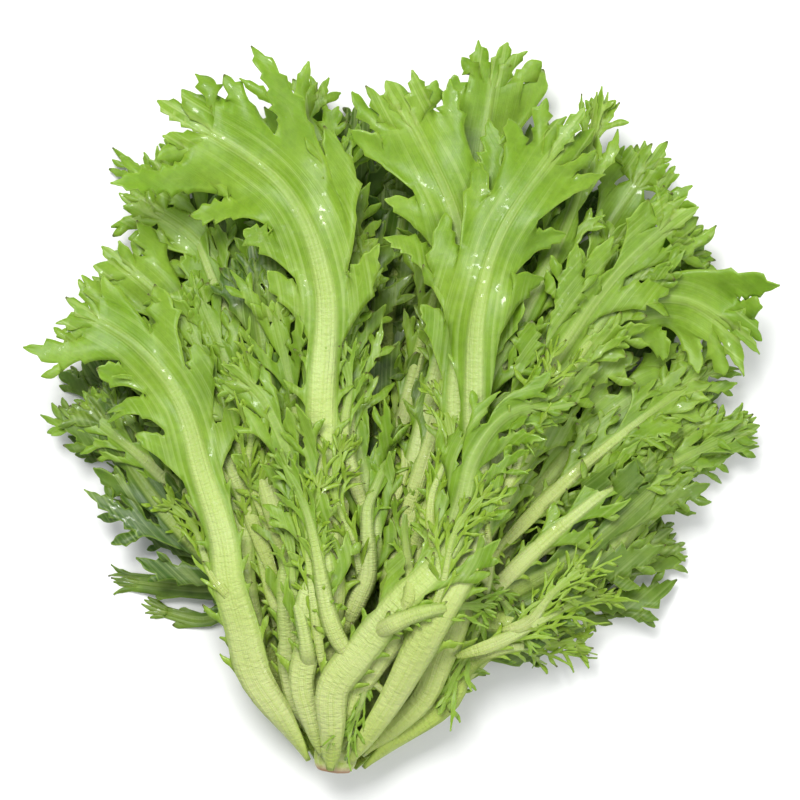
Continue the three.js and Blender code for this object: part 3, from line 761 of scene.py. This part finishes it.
    def build_end(self):
        """The lobes at the leaf's end: the tip and two on each side."""
        plan, look, leaf = self.plan, self.look, self.leaf
        last = self.middle[0].shape[1] - 1
        steps = {-2: (0, 2), -1: (2, 4), 0: (4, last - 4), 1: (last - 4, last - 2), 2: (last - 2, last)}
        for place, (a, b) in steps.items():
            base = [field[-1, a:b + 1] for field in self.middle]
            sign = (place > 0) - (place < 0)
            goal = plan.horn[sign] if sign else plan.tip
            tip = plan.flat[goal].copy()
            if abs(place) == 1:
                tip = mix(plan.flat[plan.tip], tip, leaf.pick(0.4, 0.6, 131 + place))
            foot = (base[0][0] + base[0][-1]) / 2
            ahead = (tip - foot) / np.linalg.norm(tip - foot)
            side = np.array([ahead[1], -ahead[0]])
            width = look["end_half"] * self.leaf.spec["reach"] * leaf.pick(0.8, 1.2, 135 + place)
            tip = foot + (tip - foot) * leaf.pick(0.85, 1.2, 138 + place)
            half_way = (tip + foot) / 2
            flats = np.array([half_way - side * width, tip, half_way + side * width])
            raised = plan.lift[goal]
            self.finger(base, flats, np.array([raised] * 3), 700 + 30 * place, True)


def mesh_of(shape, name):
    """The finished mesh of a bmesh, which is freed."""
    mesh = bpy.data.meshes.new(name)
    shape.to_mesh(mesh)
    shape.free()
    return mesh


def linked(name, data):
    """A new object of the scene that holds the data."""
    made = bpy.data.objects.new(name, data)
    bpy.context.scene.collection.objects.link(made)
    return made


def shade_smooth(shape):
    for face in shape.faces:
        face.smooth = True


def sheet_mesh(name, leaf, sheet, tone):
    """One welded mesh of all the patches, bent into space, with what the materials read."""
    shape = bmesh.new()
    layers = [shape.verts.layers.float.new(key) for key in SHEET_VALUES]
    for flat, lift, rise, beside, vein, edge, end, thick in sheet.patches:
        rows, columns = flat.shape[:2]
        made = bmesh.ops.create_grid(shape, x_segments=columns - 1, y_segments=rows - 1, size=1)["verts"]
        points = flat.reshape(-1, 2)
        centre, normal, free = leaf.bend(points)
        centre = centre + normal * (rise.ravel() * free)[:, None]
        centre[:, 2] += lift.ravel()
        centre[:, 2] = np.maximum(centre[:, 2], 0.02 + thick.ravel() / 2)
        down = np.clip(points[:, 1] / leaf.length, 0, 1)
        values = np.stack([
            beside.ravel(), vein.ravel(), edge.ravel(), end.ravel(), down, np.full(len(down), tone),
            np.abs(points[:, 0]), thick.ravel(),
        ], axis=1)
        for vert, place, row in zip(made, centre * MM, values):
            vert.co = place
            for layer, value in zip(layers, row):
                vert[layer] = value
    bmesh.ops.remove_doubles(shape, verts=shape.verts, dist=WELD)
    bmesh.ops.recalc_face_normals(shape, faces=shape.faces)
    shade_smooth(shape)
    return mesh_of(shape, name)


def leaf_piece(name, mesh, material):
    """The leaf with its two skins: thick along the rib and thin at the edge."""
    piece = linked(name, mesh)
    skin = np.zeros(len(mesh.vertices))
    mesh.attributes["skin"].data.foreach_get("value", skin)
    most = float(skin.max())
    group = piece.vertex_groups.new(name="skin")
    for i, value in enumerate(skin):
        group.add([i], value / most, "REPLACE")
    wall = piece.modifiers.new("two skins", "SOLIDIFY")
    wall.thickness = most * MM
    wall.offset = 0
    wall.use_rim = True
    wall.vertex_group = "skin"
    mesh.materials.append(material)
    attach(piece, "root")
    return piece


def shade(red, green, blue):
    """A colour as the shaders count it, from its 0 to 255 screen values."""
    linear = [((c / 255 + 0.055) / 1.055) ** 2.4 if c > 10 else c / 255 / 12.92 for c in (red, green, blue)]
    return (*linear, 1.0)


# How deep the materials' relief is, and how far light passes into a leaf
BUMP_DEPTH = 0.6 * MM
LIGHT_DEPTH = 2 * MM


class Nodes:
    """Short words for the nodes of one tree."""

    def __init__(self, tree):
        self.tree = tree

    def add(self, kind, **values):
        node = self.tree.nodes.new(kind)
        for key, value in values.items():
            setattr(node, key, value)
        return node

    def feed(self, socket, value):
        if isinstance(value, bpy.types.NodeSocket):
            self.tree.links.new(value, socket)
        elif value is not None:
            socket.default_value = value

    def attribute(self, name):
        return self.add("ShaderNodeAttribute", attribute_name=name).outputs["Fac"]

    def math(self, operation, a, b=None, clamp=False):
        node = self.add("ShaderNodeMath", operation=operation, use_clamp=clamp)
        self.feed(node.inputs[0], a)
        if b is not None:
            self.feed(node.inputs[1], b)
        return node.outputs[0]

    def ramp(self, value, low, high, start=0.0, end=1.0):
        """From start to end as the value goes from low to high, smoothly."""
        node = self.add("ShaderNodeMapRange", interpolation_type="SMOOTHSTEP")
        self.feed(node.inputs["Value"], value)
        for key, number in (("From Min", low), ("From Max", high), ("To Min", start), ("To Max", end)):
            self.feed(node.inputs[key], number)
        return node.outputs["Result"]

    def colour(self, share, a, b, blend="MIX"):
        node = self.add("ShaderNodeMix", data_type="RGBA", blend_type=blend)
        self.feed(node.inputs[0], share)
        self.feed(node.inputs[6], a)
        self.feed(node.inputs[7], b)
        return node.outputs[2]

    def noise(self, vector, scale, detail=2.0, rough=0.5):
        node = self.add("ShaderNodeTexNoise")
        self.feed(node.inputs["Vector"], vector)
        self.feed(node.inputs["Scale"], scale)
        self.feed(node.inputs["Detail"], detail)
        self.feed(node.inputs["Roughness"], rough)
        return node.outputs["Fac"]

    def vector(self, x, y, z):
        node = self.add("ShaderNodeCombineXYZ")
        for socket, value in zip(node.inputs, (x, y, z)):
            self.feed(socket, value)
        return node.outputs[0]

    def bump(self, height, strength, distance, normal=None):
        node = self.add("ShaderNodeBump")
        self.feed(node.inputs["Height"], height)
        self.feed(node.inputs["Strength"], strength)
        self.feed(node.inputs["Distance"], distance)
        self.feed(node.inputs["Normal"], normal)
        return node.outputs["Normal"]


def wet_film_group():
    """Thin water that lies on the leaves in patches: where it is, and how smooth it makes them."""
    name = "wet film"
    if name in bpy.data.node_groups:
        return bpy.data.node_groups[name]
    tree = bpy.data.node_groups.new(name, "ShaderNodeTree")
    for direction, sockets in (("INPUT", ("Dry Roughness", "Wetness")), ("OUTPUT", ("Roughness", "Film"))):
        for socket in sockets:
            tree.interface.new_socket(name=socket, in_out=direction, socket_type="NodeSocketFloat")
    nodes = Nodes(tree)
    given = nodes.add("NodeGroupInput")
    result = nodes.add("NodeGroupOutput")
    place = nodes.add("ShaderNodeTexCoord").outputs["Object"]
    spots = nodes.ramp(nodes.noise(place, 430, 2), 0.58, 0.66)
    patches = nodes.math("MULTIPLY", spots, nodes.ramp(nodes.noise(place, 55, 2), 0.5, 0.6))
    film = nodes.math("MULTIPLY", patches, given.outputs["Wetness"])
    smoother = nodes.math("MULTIPLY", film, -0.2)
    roughness = nodes.math("ADD", given.outputs["Dry Roughness"], smoother, clamp=True)
    nodes.feed(result.inputs["Roughness"], roughness)
    nodes.feed(result.inputs["Film"], film)
    return tree


def new_material(name):
    """A new material, with words for its nodes, its surface node and the object's coordinates."""
    material = bpy.data.materials.new(name)
    material.use_nodes = True
    nodes = Nodes(material.node_tree)
    place = nodes.add("ShaderNodeTexCoord").outputs["Object"]
    return material, nodes, material.node_tree.nodes["Principled BSDF"], place


def tints(look):
    """The colours of the look as the sockets take them."""
    return {name: tuple(getattr(look, name)) for name in COLOURS}


def damp_surface(nodes, surface, colour, dry, wetness, radius):
    """The surface of a living piece: its colour, water in patches and light that passes in."""
    film = nodes.add("ShaderNodeGroup", node_tree=wet_film_group())
    film.inputs["Dry Roughness"].default_value = dry
    film.inputs["Wetness"].default_value = wetness
    nodes.feed(surface.inputs["Base Color"], colour)
    nodes.feed(surface.inputs["Roughness"], film.outputs["Roughness"])
    nodes.feed(surface.inputs["Coat Weight"], film.outputs["Film"])
    surface.inputs["Subsurface Weight"].default_value = 0.2
    surface.inputs["Subsurface Radius"].default_value = radius
    surface.inputs["Subsurface Scale"].default_value = LIGHT_DEPTH


def leaf_material(look):
    material, nodes, surface, place = new_material("endive leaf")
    tint = tints(look)
    down, beside, vein = (nodes.attribute(name) for name in ("down_leaf", "beside", "vein"))
    edge, tone, wide = (nodes.attribute(name) for name in ("edge", "tone", "wide"))

    def lengthwise(fine_across, fine_along):
        """Noise drawn out along the leaf."""
        across = nodes.math("MULTIPLY", wide, fine_across)
        return nodes.noise(nodes.vector(across, nodes.math("MULTIPLY", down, fine_along), tone), 1.0, 2)

    cloudy = nodes.noise(place, 28, 3)
    fine = nodes.noise(place, 260, 3, 0.6)
    low_green = nodes.colour(nodes.ramp(down, 0.05, 0.4), tint["young_green"], tint["blade_green"])
    green = nodes.colour(nodes.ramp(down, 0.45, 1.0), low_green, tint["tip_green"])
    # Leaves of low tone turn deep green: partly the older outer leaves' own colour, partly painted shade
    # that darkens the gaps under the top leaves
    green = nodes.colour(nodes.ramp(tone, 0.0, 0.5, 1.0, 0.0), green, tint["deep_green_and_shade"])
    green = nodes.colour(nodes.ramp(tone, 0.5, 1.0), green, tint["heart_yellow"])
    green = nodes.colour(nodes.ramp(cloudy, 0.35, 0.7, 0.0, 0.45), green, tint["fresh_green"])
    green = nodes.colour(nodes.ramp(fine, 0.3, 0.75, 0.0, 0.22), green, tint["deep_green_and_shade"])

    branch = nodes.ramp(vein, 0.2, 1.5, 0.55, 0.0)
    branch = nodes.math("MULTIPLY", branch, nodes.ramp(down, 0.9, 0.2, 0.5, 1.0))
    green = nodes.colour(branch, green, tint["rib_green"])
    lanes = nodes.ramp(lengthwise(0.9, 3.0), 0.42, 0.75, 0.0, 0.3)
    lanes = nodes.math("MULTIPLY", lanes, nodes.ramp(beside, 4.0, 7.0, 1.0, 0.15))
    green = nodes.colour(lanes, green, tint["rib_green"])
    rim = nodes.ramp(edge, 0.0, 0.7, 0.35, 0.0)
    green = nodes.colour(rim, green, tint["fresh_green"])

    rib_colour = nodes.colour(nodes.ramp(down, 0.1, 0.55), tint["rib_white"], tint["rib_green"])
    rib_colour = nodes.colour(nodes.ramp(down, 0.12, 0.0, 0.0, 0.5), rib_colour, tint["young_green"])
    rib_colour = nodes.colour(nodes.ramp(cloudy, 0.3, 0.7, 0.0, 0.4), rib_colour, tint["young_green"])
    # Ribs of the low tone leaves greener and darker: partly their own colour, partly painted shade
    rib_colour = nodes.colour(nodes.ramp(tone, 0.1, 0.4, 0.6, 0.0), rib_colour, tint["young_green"])
    grooves = lengthwise(2.2, 2.0)
    rib_colour = nodes.colour(nodes.ramp(grooves, 0.5, 0.8, 0.0, 0.4), rib_colour, tint["young_green"])
    on_rib = nodes.ramp(beside, 0.75, 1.5, 1.0, 0.0)
    on_rib = nodes.math("MULTIPLY", on_rib, nodes.ramp(down, 0.85, 0.45, 0.15, 1.0))
    colour = nodes.colour(on_rib, green, rib_colour)
    colour = nodes.colour(nodes.attribute("end"), colour, tint["tip_brown"])

    damp_surface(nodes, surface, colour, 0.42, look.wetness, (0.55, 1.0, 0.2))
    surface.inputs["Coat Roughness"].default_value = 0.12
    surface.inputs["Specular IOR Level"].default_value = 0.28
    wrinkles = nodes.math("MULTIPLY", lengthwise(0.35, 170), on_rib)
    channels = nodes.math("MULTIPLY", grooves, nodes.math("ADD", on_rib, 0.3))
    vein_line = nodes.math("MULTIPLY", nodes.ramp(vein, 0.0, 0.9), 0.7)
    height = nodes.math("ADD", nodes.math("MULTIPLY", wrinkles, 1.8), nodes.math("MULTIPLY", channels, 0.8))
    height = nodes.math("ADD", height, vein_line)
    height = nodes.math("ADD", height, nodes.math("MULTIPLY", fine, 0.35))
    nodes.feed(surface.inputs["Normal"], nodes.bump(height, 0.8, BUMP_DEPTH))
    return material


def crown_material(look):
    material, nodes, surface, place = new_material("endive crown")
    tint = tints(look)
    cut = nodes.attribute("cut")
    ring = nodes.attribute("ring")
    stains = nodes.noise(place, 320, 4, 0.65)
    colour = nodes.colour(nodes.ramp(stains, 0.4, 0.7), tint["rib_white"], tint["young_green"])
    pith = nodes.colour(nodes.ramp(stains, 0.35, 0.65, 0.0, 0.7), tint["pith"], tint["cut_brown"])
    colour = nodes.colour(cut, colour, pith)
    colour = nodes.colour(ring, colour, tint["cut_brown"])
    damp_surface(nodes, surface, colour, 0.6, 0.4, (1.0, 0.8, 0.4))
    nodes.feed(surface.inputs["Normal"], nodes.bump(stains, 0.5, BUMP_DEPTH))
    return material


def floor_material(look):
    material, nodes, surface, place = new_material("pale floor")
    grain = nodes.noise(place, 40, 3)
    bright = tuple(look.floor)
    dimmer = tuple(0.97 * c for c in bright[:3]) + (1.0,)
    nodes.feed(surface.inputs["Base Color"], nodes.colour(nodes.ramp(grain, 0.3, 0.7), bright, dimmer))
    surface.inputs["Roughness"].default_value = 0.8
    return material


# What each colour is for, and its 0 to 255 screen values
COLOURS = {
    "young_green": ("Blade near the base", (150, 172, 56)),
    "blade_green": ("Open blade", (102, 136, 22)),
    "tip_green": ("Blade at the leaf's end", (104, 138, 28)),
    "fresh_green": ("Light cloudy patches and edges of the blade", (138, 166, 58)),
    # Deep green: the older low leaves' own colour and dark flecks, and also painted shade for the gaps
    # under the top leaves
    "deep_green_and_shade": ("Leaves at the bottom", (40, 70, 10)),
    "heart_yellow": ("Young leaves of the heart", (152, 176, 38)),
    "rib_green": ("Ribs and veins in the blade", (178, 194, 124)),
    "rib_white": ("Ribs near the base", (180, 190, 122)),
    "tip_brown": ("Dried points of the lobes", (70, 62, 34)),
    "cut_brown": ("Rim of the cut base", (150, 112, 72)),
    "pith": ("Inside of the cut base", (236, 222, 200)),
    "floor": ("The plain floor", (238, 238, 236)),
}


class EndiveLook(bpy.types.PropertyGroup):
    """Sizes and colours of the head."""

    ruffle: bpy.props.FloatProperty(
        name="Ruffle", description="How far the blade waves up and down at its edge",
        default=1.6 * MM, unit="LENGTH", subtype="DISTANCE")
    wetness: bpy.props.FloatProperty(
        name="Wetness", description="How wet the leaves are in patches",
        default=0.6, min=0, max=1, subtype="FACTOR")
    lens: bpy.props.FloatProperty(
        name="Lens", description="Focal length of the camera, in millimetres", default=120.0)
    camera_height: bpy.props.FloatProperty(
        name="Camera Height", description="Height of the camera above the floor",
        default=1.1, unit="LENGTH", subtype="DISTANCE")


for colour_name, (colour_use, screen_values) in COLOURS.items():
    EndiveLook.__annotations__[colour_name] = bpy.props.FloatVectorProperty(
        name=colour_name.replace("_", " ").title(), description=colour_use, size=4, subtype="COLOR",
        default=shade(*screen_values))


# How each kind of leaf differs. row: spacing of a lobe's points. cut: how deep the notches are.
# palm: how far the open part is uncut. slim, reach: a lobe against the plain one. flare: the wide root
# of a lobe. end_half: the lobes at the leaf's end. branch: small lobes on a lobe. forward: how far
# lobes point ahead. fringe: teeth of the closed part. curl, twist, fold, frill, ruffle: how a lobe and
# the web stand up. teeth: steps in a lobe's rims. depth: the rib's thickness against its width.
BLADE_LOOK = dict(row=1.3, cut=0.6, palm=-1.0, slim=0.9, reach=1.3, flare=0.4, end_half=0.13,
                  branch_from=13.0, branch_gap=20.0, branch_half=2.2, forward=0.25, fringe=1.0,
                  curl=0.4, twist=1.0, fold=0.24, teeth=0.75, frill=0.8, frill_wave=19.0,
                  ruffle=2.2, ruffle_wave=34.0, depth=0.4)
FAN_LOOK = dict(BLADE_LOOK, cut=0.0, palm=0.28, slim=0.95, reach=1.25, flare=0.6, branch_gap=60.0,
                forward=0.1, curl=0.34, ruffle_wave=40.0)
SMALL_FAN_LOOK = dict(FAN_LOOK, reach=0.95, end_half=0.11)
TANGLE_LOOK = dict(BLADE_LOOK, cut=0.7, slim=0.7, end_half=0.12, branch_from=14.0, branch_gap=18.0,
                   branch_half=1.6, forward=0.45, curl=0.6, frill_wave=13.0, ruffle_wave=20.0)
STRAP_LOOK = dict(BLADE_LOOK, cut=0.0, slim=0.7, reach=0.35, branch_from=99.0, forward=0.6, fringe=0.3,
                  ruffle=0.8)
HEART_LOOK = dict(BLADE_LOOK, row=1.0, cut=0.8, slim=0.4, reach=1.5, flare=0.3, end_half=0.1,
                  branch_from=8.0, branch_gap=12.0, branch_half=0.8, forward=0.5, curl=1.1, twist=1.4,
                  frill_wave=8.0, ruffle=1.6, ruffle_wave=14.0)
STALK_LOOK = dict(HEART_LOOK, depth=0.8, ruffle=0.0)


def shared_leaf_material(look):
    return bpy.data.materials.get("endive leaf") or leaf_material(look)


# How green each leaf is, and how many of the lowest are deep green, which is partly their own older colour
# and partly painted shade of the gaps under the top leaves
DEEP_SHADED_LEAVES = 6
UNDER_SHADED_TONE = 0.14
SHOWN_TONE = 0.5


def tone_of(index):
    """From 0, the deep green of the lowest leaves, partly their own older colour and partly painted shade,
    to 1, the yellow of the heart.
    """
    under = LEAVES[index]["name"].startswith("under") or index < DEEP_SHADED_LEAVES
    base = UNDER_SHADED_TONE if under else SHOWN_TONE
    return base + 0.12 * (draw(index, 9) - 0.5)


def look_of(name, blade):
    """The kind of fine leaf that a leaf of the frame gets."""
    if name.endswith("strap"):
        return STRAP_LOOK
    if name == "left_long":
        return SMALL_FAN_LOOK
    if name in FANS:
        return FAN_LOOK
    return TANGLE_LOOK if name in NARROW else blade


# The first number of each group's draws, and how many of the frame's lowest leaves it lies on
HEART_INDEX = 60
STALK_INDEX = 80
NARROW_INDEX = 100
NARROW_ON = 29
LOW_INDEX = 140
LOW_ON = 12

# How far from the cut end the longest narrow leaf ends, and a low leaf starts
NARROW_REACH = 285
LOW_START = 100

# How a leaf lies on the others: points along it, rounds of evening out, room under it, least height
LYING_POINTS = 11
LYING_ROUNDS = 4
LYING_CLEAR = 0.7
LYING_LOWEST = 1.5


class ENDIVE_OT_leaves(bpy.types.Operator):
    """Build every leaf of the frame as a fine blade"""

    bl_idname = "endive.leaves"
    bl_label = "Leaves"

    def execute(self, context):
        look = context.scene.endive_look
        material = shared_leaf_material(look)
        places = bundle_places()
        blade = dict(BLADE_LOOK, ruffle=look.ruffle / MM)
        for index, spec in enumerate(LEAVES):
            leaf = Leaf.of_bundle(index, places[index])
            plan = Plan(leaf)
            node = "leaf_" + spec["name"]
            misses = plan.settle(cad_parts[node])
            if misses:
                print(f"{node}: {misses} of {len(plan.flat)} points not met in the frame")
            sheet = Sheet(leaf, plan, look_of(spec["name"], blade))
            mesh = sheet_mesh(spec["name"] + "_blade", leaf, sheet, tone_of(index))
            piece = leaf_piece(spec["name"] + "_blade", mesh, material)
            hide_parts(node)
        return {"FINISHED"}


def ground_under(tree, x, y):
    """The height of what lies highest at a point of the plan."""
    hit = tree.ray_cast(Vector((x * MM, y * MM, 1.0)), Vector((0, 0, -1)))
    return 0.0 if hit[0] is None else hit[0].z / MM


def frame_tree(leaves):
    """The frame's crown and its lowest leaves, so many of them, as one tree to look down on."""
    points, faces = [], []
    without = ["leaf_" + spec["name"] for spec in LEAVES[leaves:]]
    for name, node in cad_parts.items():
        if name in without:
            continue
        first = len(points)
        points += [v.co.copy() for v in node.data.vertices]
        faces += [[first + i for i in polygon.vertices] for polygon in node.data.polygons]
    return BVHTree.FromPolygons(points, faces)


def lying_leaf(tree, index, spec, look, material):
    """A leaf that isn't in the frame, laid on what the tree holds, with its base sunk in it."""
    line = RibCurve([[x, y, 0] for x, y in spec["path"]])
    points = []
    for x, y, _ in line.point(np.linspace(0, 1, LYING_POINTS)):
        points.append([x, y, ground_under(tree, x, y)])
    points = np.array(points)
    heights = points[:, 2].copy()
    for _ in range(LYING_ROUNDS):
        heights[1:-1] = (heights[:-2] + 2 * heights[1:-1] + heights[2:]) / 4
        heights[-1] = (heights[-2] + heights[-1]) / 2
    points[:, 2] = heights + LYING_CLEAR + 0.3 * spec["rib"] + spec.get("above", 0)
    points[0, 2] -= spec["sunk"]
    points[1, 2] -= spec["sunk"] * 0.4
    points[:, 2] = np.maximum(points[:, 2], LYING_LOWEST)
    leaf = Leaf(spec, index, RibCurve(points), OPEN_AHEAD - 4, 0, 0)
    sheet = Sheet(leaf, Plan(leaf), look)
    name = spec["name"] + "_leaf"
    leaf_piece(name, sheet_mesh(name, leaf, sheet, spec["tone"]), material)


def lay_leaves(context, specs, first_index, look, on=None):
    """Lays leaves that aren't in the frame on its lowest leaves, so many of them, or on all."""
    material = shared_leaf_material(context.scene.endive_look)
    tree = frame_tree(len(LEAVES) if on is None else on)
    for k, spec in enumerate(specs):
        lying_leaf(tree, first_index + k, spec, look, material)
    return {"FINISHED"}


def narrow_spec(k):
    """One of the narrow leaves between the broad ones, by its number across the fan."""
    lean = mix(-0.62, 0.74, fract(0.3 + k * GOLDEN_RATIO))
    reach = NARROW_REACH * (1 - 0.45 * abs(lean) ** 1.5) * (0.8 if lean < -0.35 else 1)
    start = mix(70, 120, draw(k, 51))
    end = min(reach, start + mix(110, 170, draw(k, 52)))
    path = []
    for share in (0, 0.33, 0.66, 1):
        angle = lean * (0.85 + 0.2 * share) + 0.12 * (draw(k, 53) - 0.5) * (1 + share)
        ahead = mix(start, end, share)
        path.append(from_crown(ahead * math.cos(angle), ahead * math.sin(angle)))
    return dict(name=f"narrow_{k + 1:02d}", path=path, open=0.3, reach=mix(13, 20, draw(k, 54)),
                web=0.14, rib=mix(4.5, 7, draw(k, 55)), lobes=6, tone=mix(0.3, 0.55, draw(k, 56)), sunk=6)


def low_spec(k):
    """One of the low leaves, from near the crown to its tip."""
    x, y = BACK_TIPS[k]
    right, along_y = x - CROWN_X, y - CROWN_Y
    start = LOW_START / math.hypot(right, along_y)
    path = []
    for share in (start, mix(start, 1, 0.5), 1):
        sway = 6 * math.sin(3.0 * share + k) * (1 - share)
        path.append([CROWN_X + right * share + sway, CROWN_Y + along_y * share])
    # The low tone makes these leaves deep green: partly their own colour, partly painted shade in the gaps
    return dict(name=f"low_{k + 1:02d}", path=path, open=0.1, reach=22, web=0.3, rib=7, lobes=6,
                tone=0.1, sunk=4)


def heart_spec(k):
    reach, rib, above, path = HEART_LEAVES[k]
    return dict(name=f"heart_{k + 1:02d}", path=path, open=0.3, reach=reach, web=0.08, rib=rib, lobes=6,
                tone=0.68, sunk=6, above=above)


def stalk_spec(k):
    rib, sunk, path = STALKS[k]
    return dict(name=f"stalk_{k + 1:02d}", path=path, open=0.5, reach=8, web=0.05, rib=rib, lobes=5,
                tone=0.5, sunk=sunk)


class ENDIVE_OT_tangle(bpy.types.Operator):
    """Build the narrow leaves that fill the head between the broad ones"""

    bl_idname = "endive.tangle"
    bl_label = "Narrow Leaves"

    def execute(self, context):
        specs = [narrow_spec(k) for k in range(TANGLE_COUNT)]
        return lay_leaves(context, specs, NARROW_INDEX, TANGLE_LOOK, NARROW_ON)


class ENDIVE_OT_back(bpy.types.Operator):
    """Build the low leaves that close the gaps, dark partly by their own colour and partly by painted shade
    """

    bl_idname = "endive.back"
    bl_label = "Low Leaves"

    def execute(self, context):
        specs = [low_spec(k) for k in range(len(BACK_TIPS))]
        return lay_leaves(context, specs, LOW_INDEX, BLADE_LOOK, LOW_ON)


class ENDIVE_OT_heart(bpy.types.Operator):
    """Build the small curled leaves and the forked stalks of the heart"""

    bl_idname = "endive.heart"
    bl_label = "Heart Leaves"

    def execute(self, context):
        lay_leaves(context, [heart_spec(k) for k in range(len(HEART_LEAVES))], HEART_INDEX, HEART_LOOK)
        return lay_leaves(context, [stalk_spec(k) for k in range(len(STALKS))], STALK_INDEX, STALK_LOOK)


class ENDIVE_OT_crown(bpy.types.Operator):
    """Build the short cut stem that holds the leaves"""

    bl_idname = "endive.crown"
    bl_label = "Crown"

    SIDES = 40
    CUT_FACE = [(0.0, 1.2), (0.45, 1.1), (0.78, 0.5), (0.93, 0.0), (1.0, 0.5)]  # share of the radius, dip

    def execute(self, context):
        look = context.scene.endive_look
        shape = bmesh.new()
        end_radius = CROWN_PROFILE[0][1]
        ring = [(share * end_radius, dip) for share, dip in self.CUT_FACE]
        ring += [(radius, ahead) for ahead, radius in CROWN_PROFILE[1:]]
        verts = [shape.verts.new((radius, ahead, 0)) for radius, ahead in ring]
        edges = [shape.edges.new(pair) for pair in zip(verts, verts[1:])]
        bmesh.ops.spin(
            shape, geom=verts + edges, cent=(0, 0, 0), axis=(0, 1, 0), angle=2 * math.pi,
            steps=self.SIDES, use_merge=True)
        bmesh.ops.remove_doubles(shape, verts=shape.verts, dist=0.001)
        cut = shape.verts.layers.float.new("cut")
        rim = shape.verts.layers.float.new("ring")
        for vert in shape.verts:
            x, ahead, z = vert.co
            out = math.hypot(x, z)
            turn = math.atan2(z, x)
            on_face = ahead < 1.3 and out < end_radius * 1.01
            vert[cut] = 1.0 if on_face else 0.0
            vert[rim] = math.exp(-((out - end_radius) / 0.8) ** 2) if ahead < 2 else 0.0
            uneven = 1 + 0.05 * math.sin(5 * turn + 0.8) + 0.03 * math.sin(11 * turn + ahead)
            scar = 0.35 * math.sin(9 * turn + 2.4 * ahead) * min(1, ahead / 4)
            scale = uneven + (scar / out if out > 1 else 0)
            vert.co = Vector((*from_crown(ahead, x * scale), z * scale + AXIS_HEIGHT)) * MM
        bmesh.ops.recalc_face_normals(shape, faces=shape.faces)
        shade_smooth(shape)
        mesh = mesh_of(shape, "cut_crown")
        piece = linked("cut_crown", mesh)
        finer = piece.modifiers.new("rounding", "SUBSURF")
        finer.levels = finer.render_levels = 1
        mesh.materials.append(crown_material(look))
        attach(piece, "root")
        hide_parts("crown")
        return {"FINISHED"}


class ENDIVE_OT_stage(bpy.types.Operator):
    """Build the floor, the lights and the camera"""

    bl_idname = "endive.stage"
    bl_label = "Stage"

    FLOOR_HALF = 3.0

    def execute(self, context):
        look = context.scene.endive_look
        scene = context.scene
        shape = bmesh.new()
        bmesh.ops.create_grid(shape, x_segments=1, y_segments=1, size=self.FLOOR_HALF)
        mesh = mesh_of(shape, "floor")
        floor = linked("floor", mesh)
        mesh.materials.append(floor_material(look))

        world = bpy.data.worlds.new("studio")
        world.use_nodes = True
        world.node_tree.nodes["Background"].inputs["Color"].default_value = (0.93, 0.97, 1.0, 1.0)
        world.node_tree.nodes["Background"].inputs["Strength"].default_value = 0.5
        scene.world = world
        for name, place, size, power in (
            ("key", (-0.2, 0.5, 1.1), 0.5, 17.0),
            ("fill", (0.7, -0.3, 1.0), 0.8, 6.0),
        ):
            light = bpy.data.lights.new(name, "AREA")
            light.size = size
            light.energy = power
            lamp = linked(name, light)
            lamp.location = place
            lamp.rotation_euler = (-Vector(place)).to_track_quat("-Z", "Y").to_euler()

        view = bpy.data.cameras.new("camera")
        view.lens = look.lens
        view.sensor_width = 36
        camera = linked("camera", view)
        camera.location = (0, 0, look.camera_height)
        scene.camera = camera
        scene.view_settings.view_transform = "Standard"
        return {"FINISHED"}


class ENDIVE_PT_panel(bpy.types.Panel):
    """The steps that build the head, and its sizes and colours"""

    bl_label = "Curly Endive Head"
    bl_idname = "ENDIVE_PT_panel"
    bl_space_type = "VIEW_3D"
    bl_region_type = "UI"
    bl_category = "Endive"

    def draw(self, context):
        look = context.scene.endive_look
        for operator in OPERATORS:
            self.layout.operator(operator.bl_idname)
        for name in look.bl_rna.properties.keys():
            if name not in {"rna_type", "name"}:
                self.layout.prop(look, name)


OPERATORS = (
    ENDIVE_OT_stage, ENDIVE_OT_leaves, ENDIVE_OT_tangle, ENDIVE_OT_back, ENDIVE_OT_heart, ENDIVE_OT_crown,
)
CLASSES = (EndiveLook, *OPERATORS, ENDIVE_PT_panel)


def register():
    for item in CLASSES:
        bpy.utils.register_class(item)
    bpy.types.Scene.endive_look = bpy.props.PointerProperty(type=EndiveLook)


def unregister():
    del bpy.types.Scene.endive_look
    for item in reversed(CLASSES):
        bpy.utils.unregister_class(item)


def main():
    register()
    bpy.ops.endive.stage()
    bpy.ops.endive.leaves()
    bpy.ops.endive.tangle()
    bpy.ops.endive.back()
    bpy.ops.endive.heart()
    bpy.ops.endive.crown()


if __name__ == "__main__":
    main()
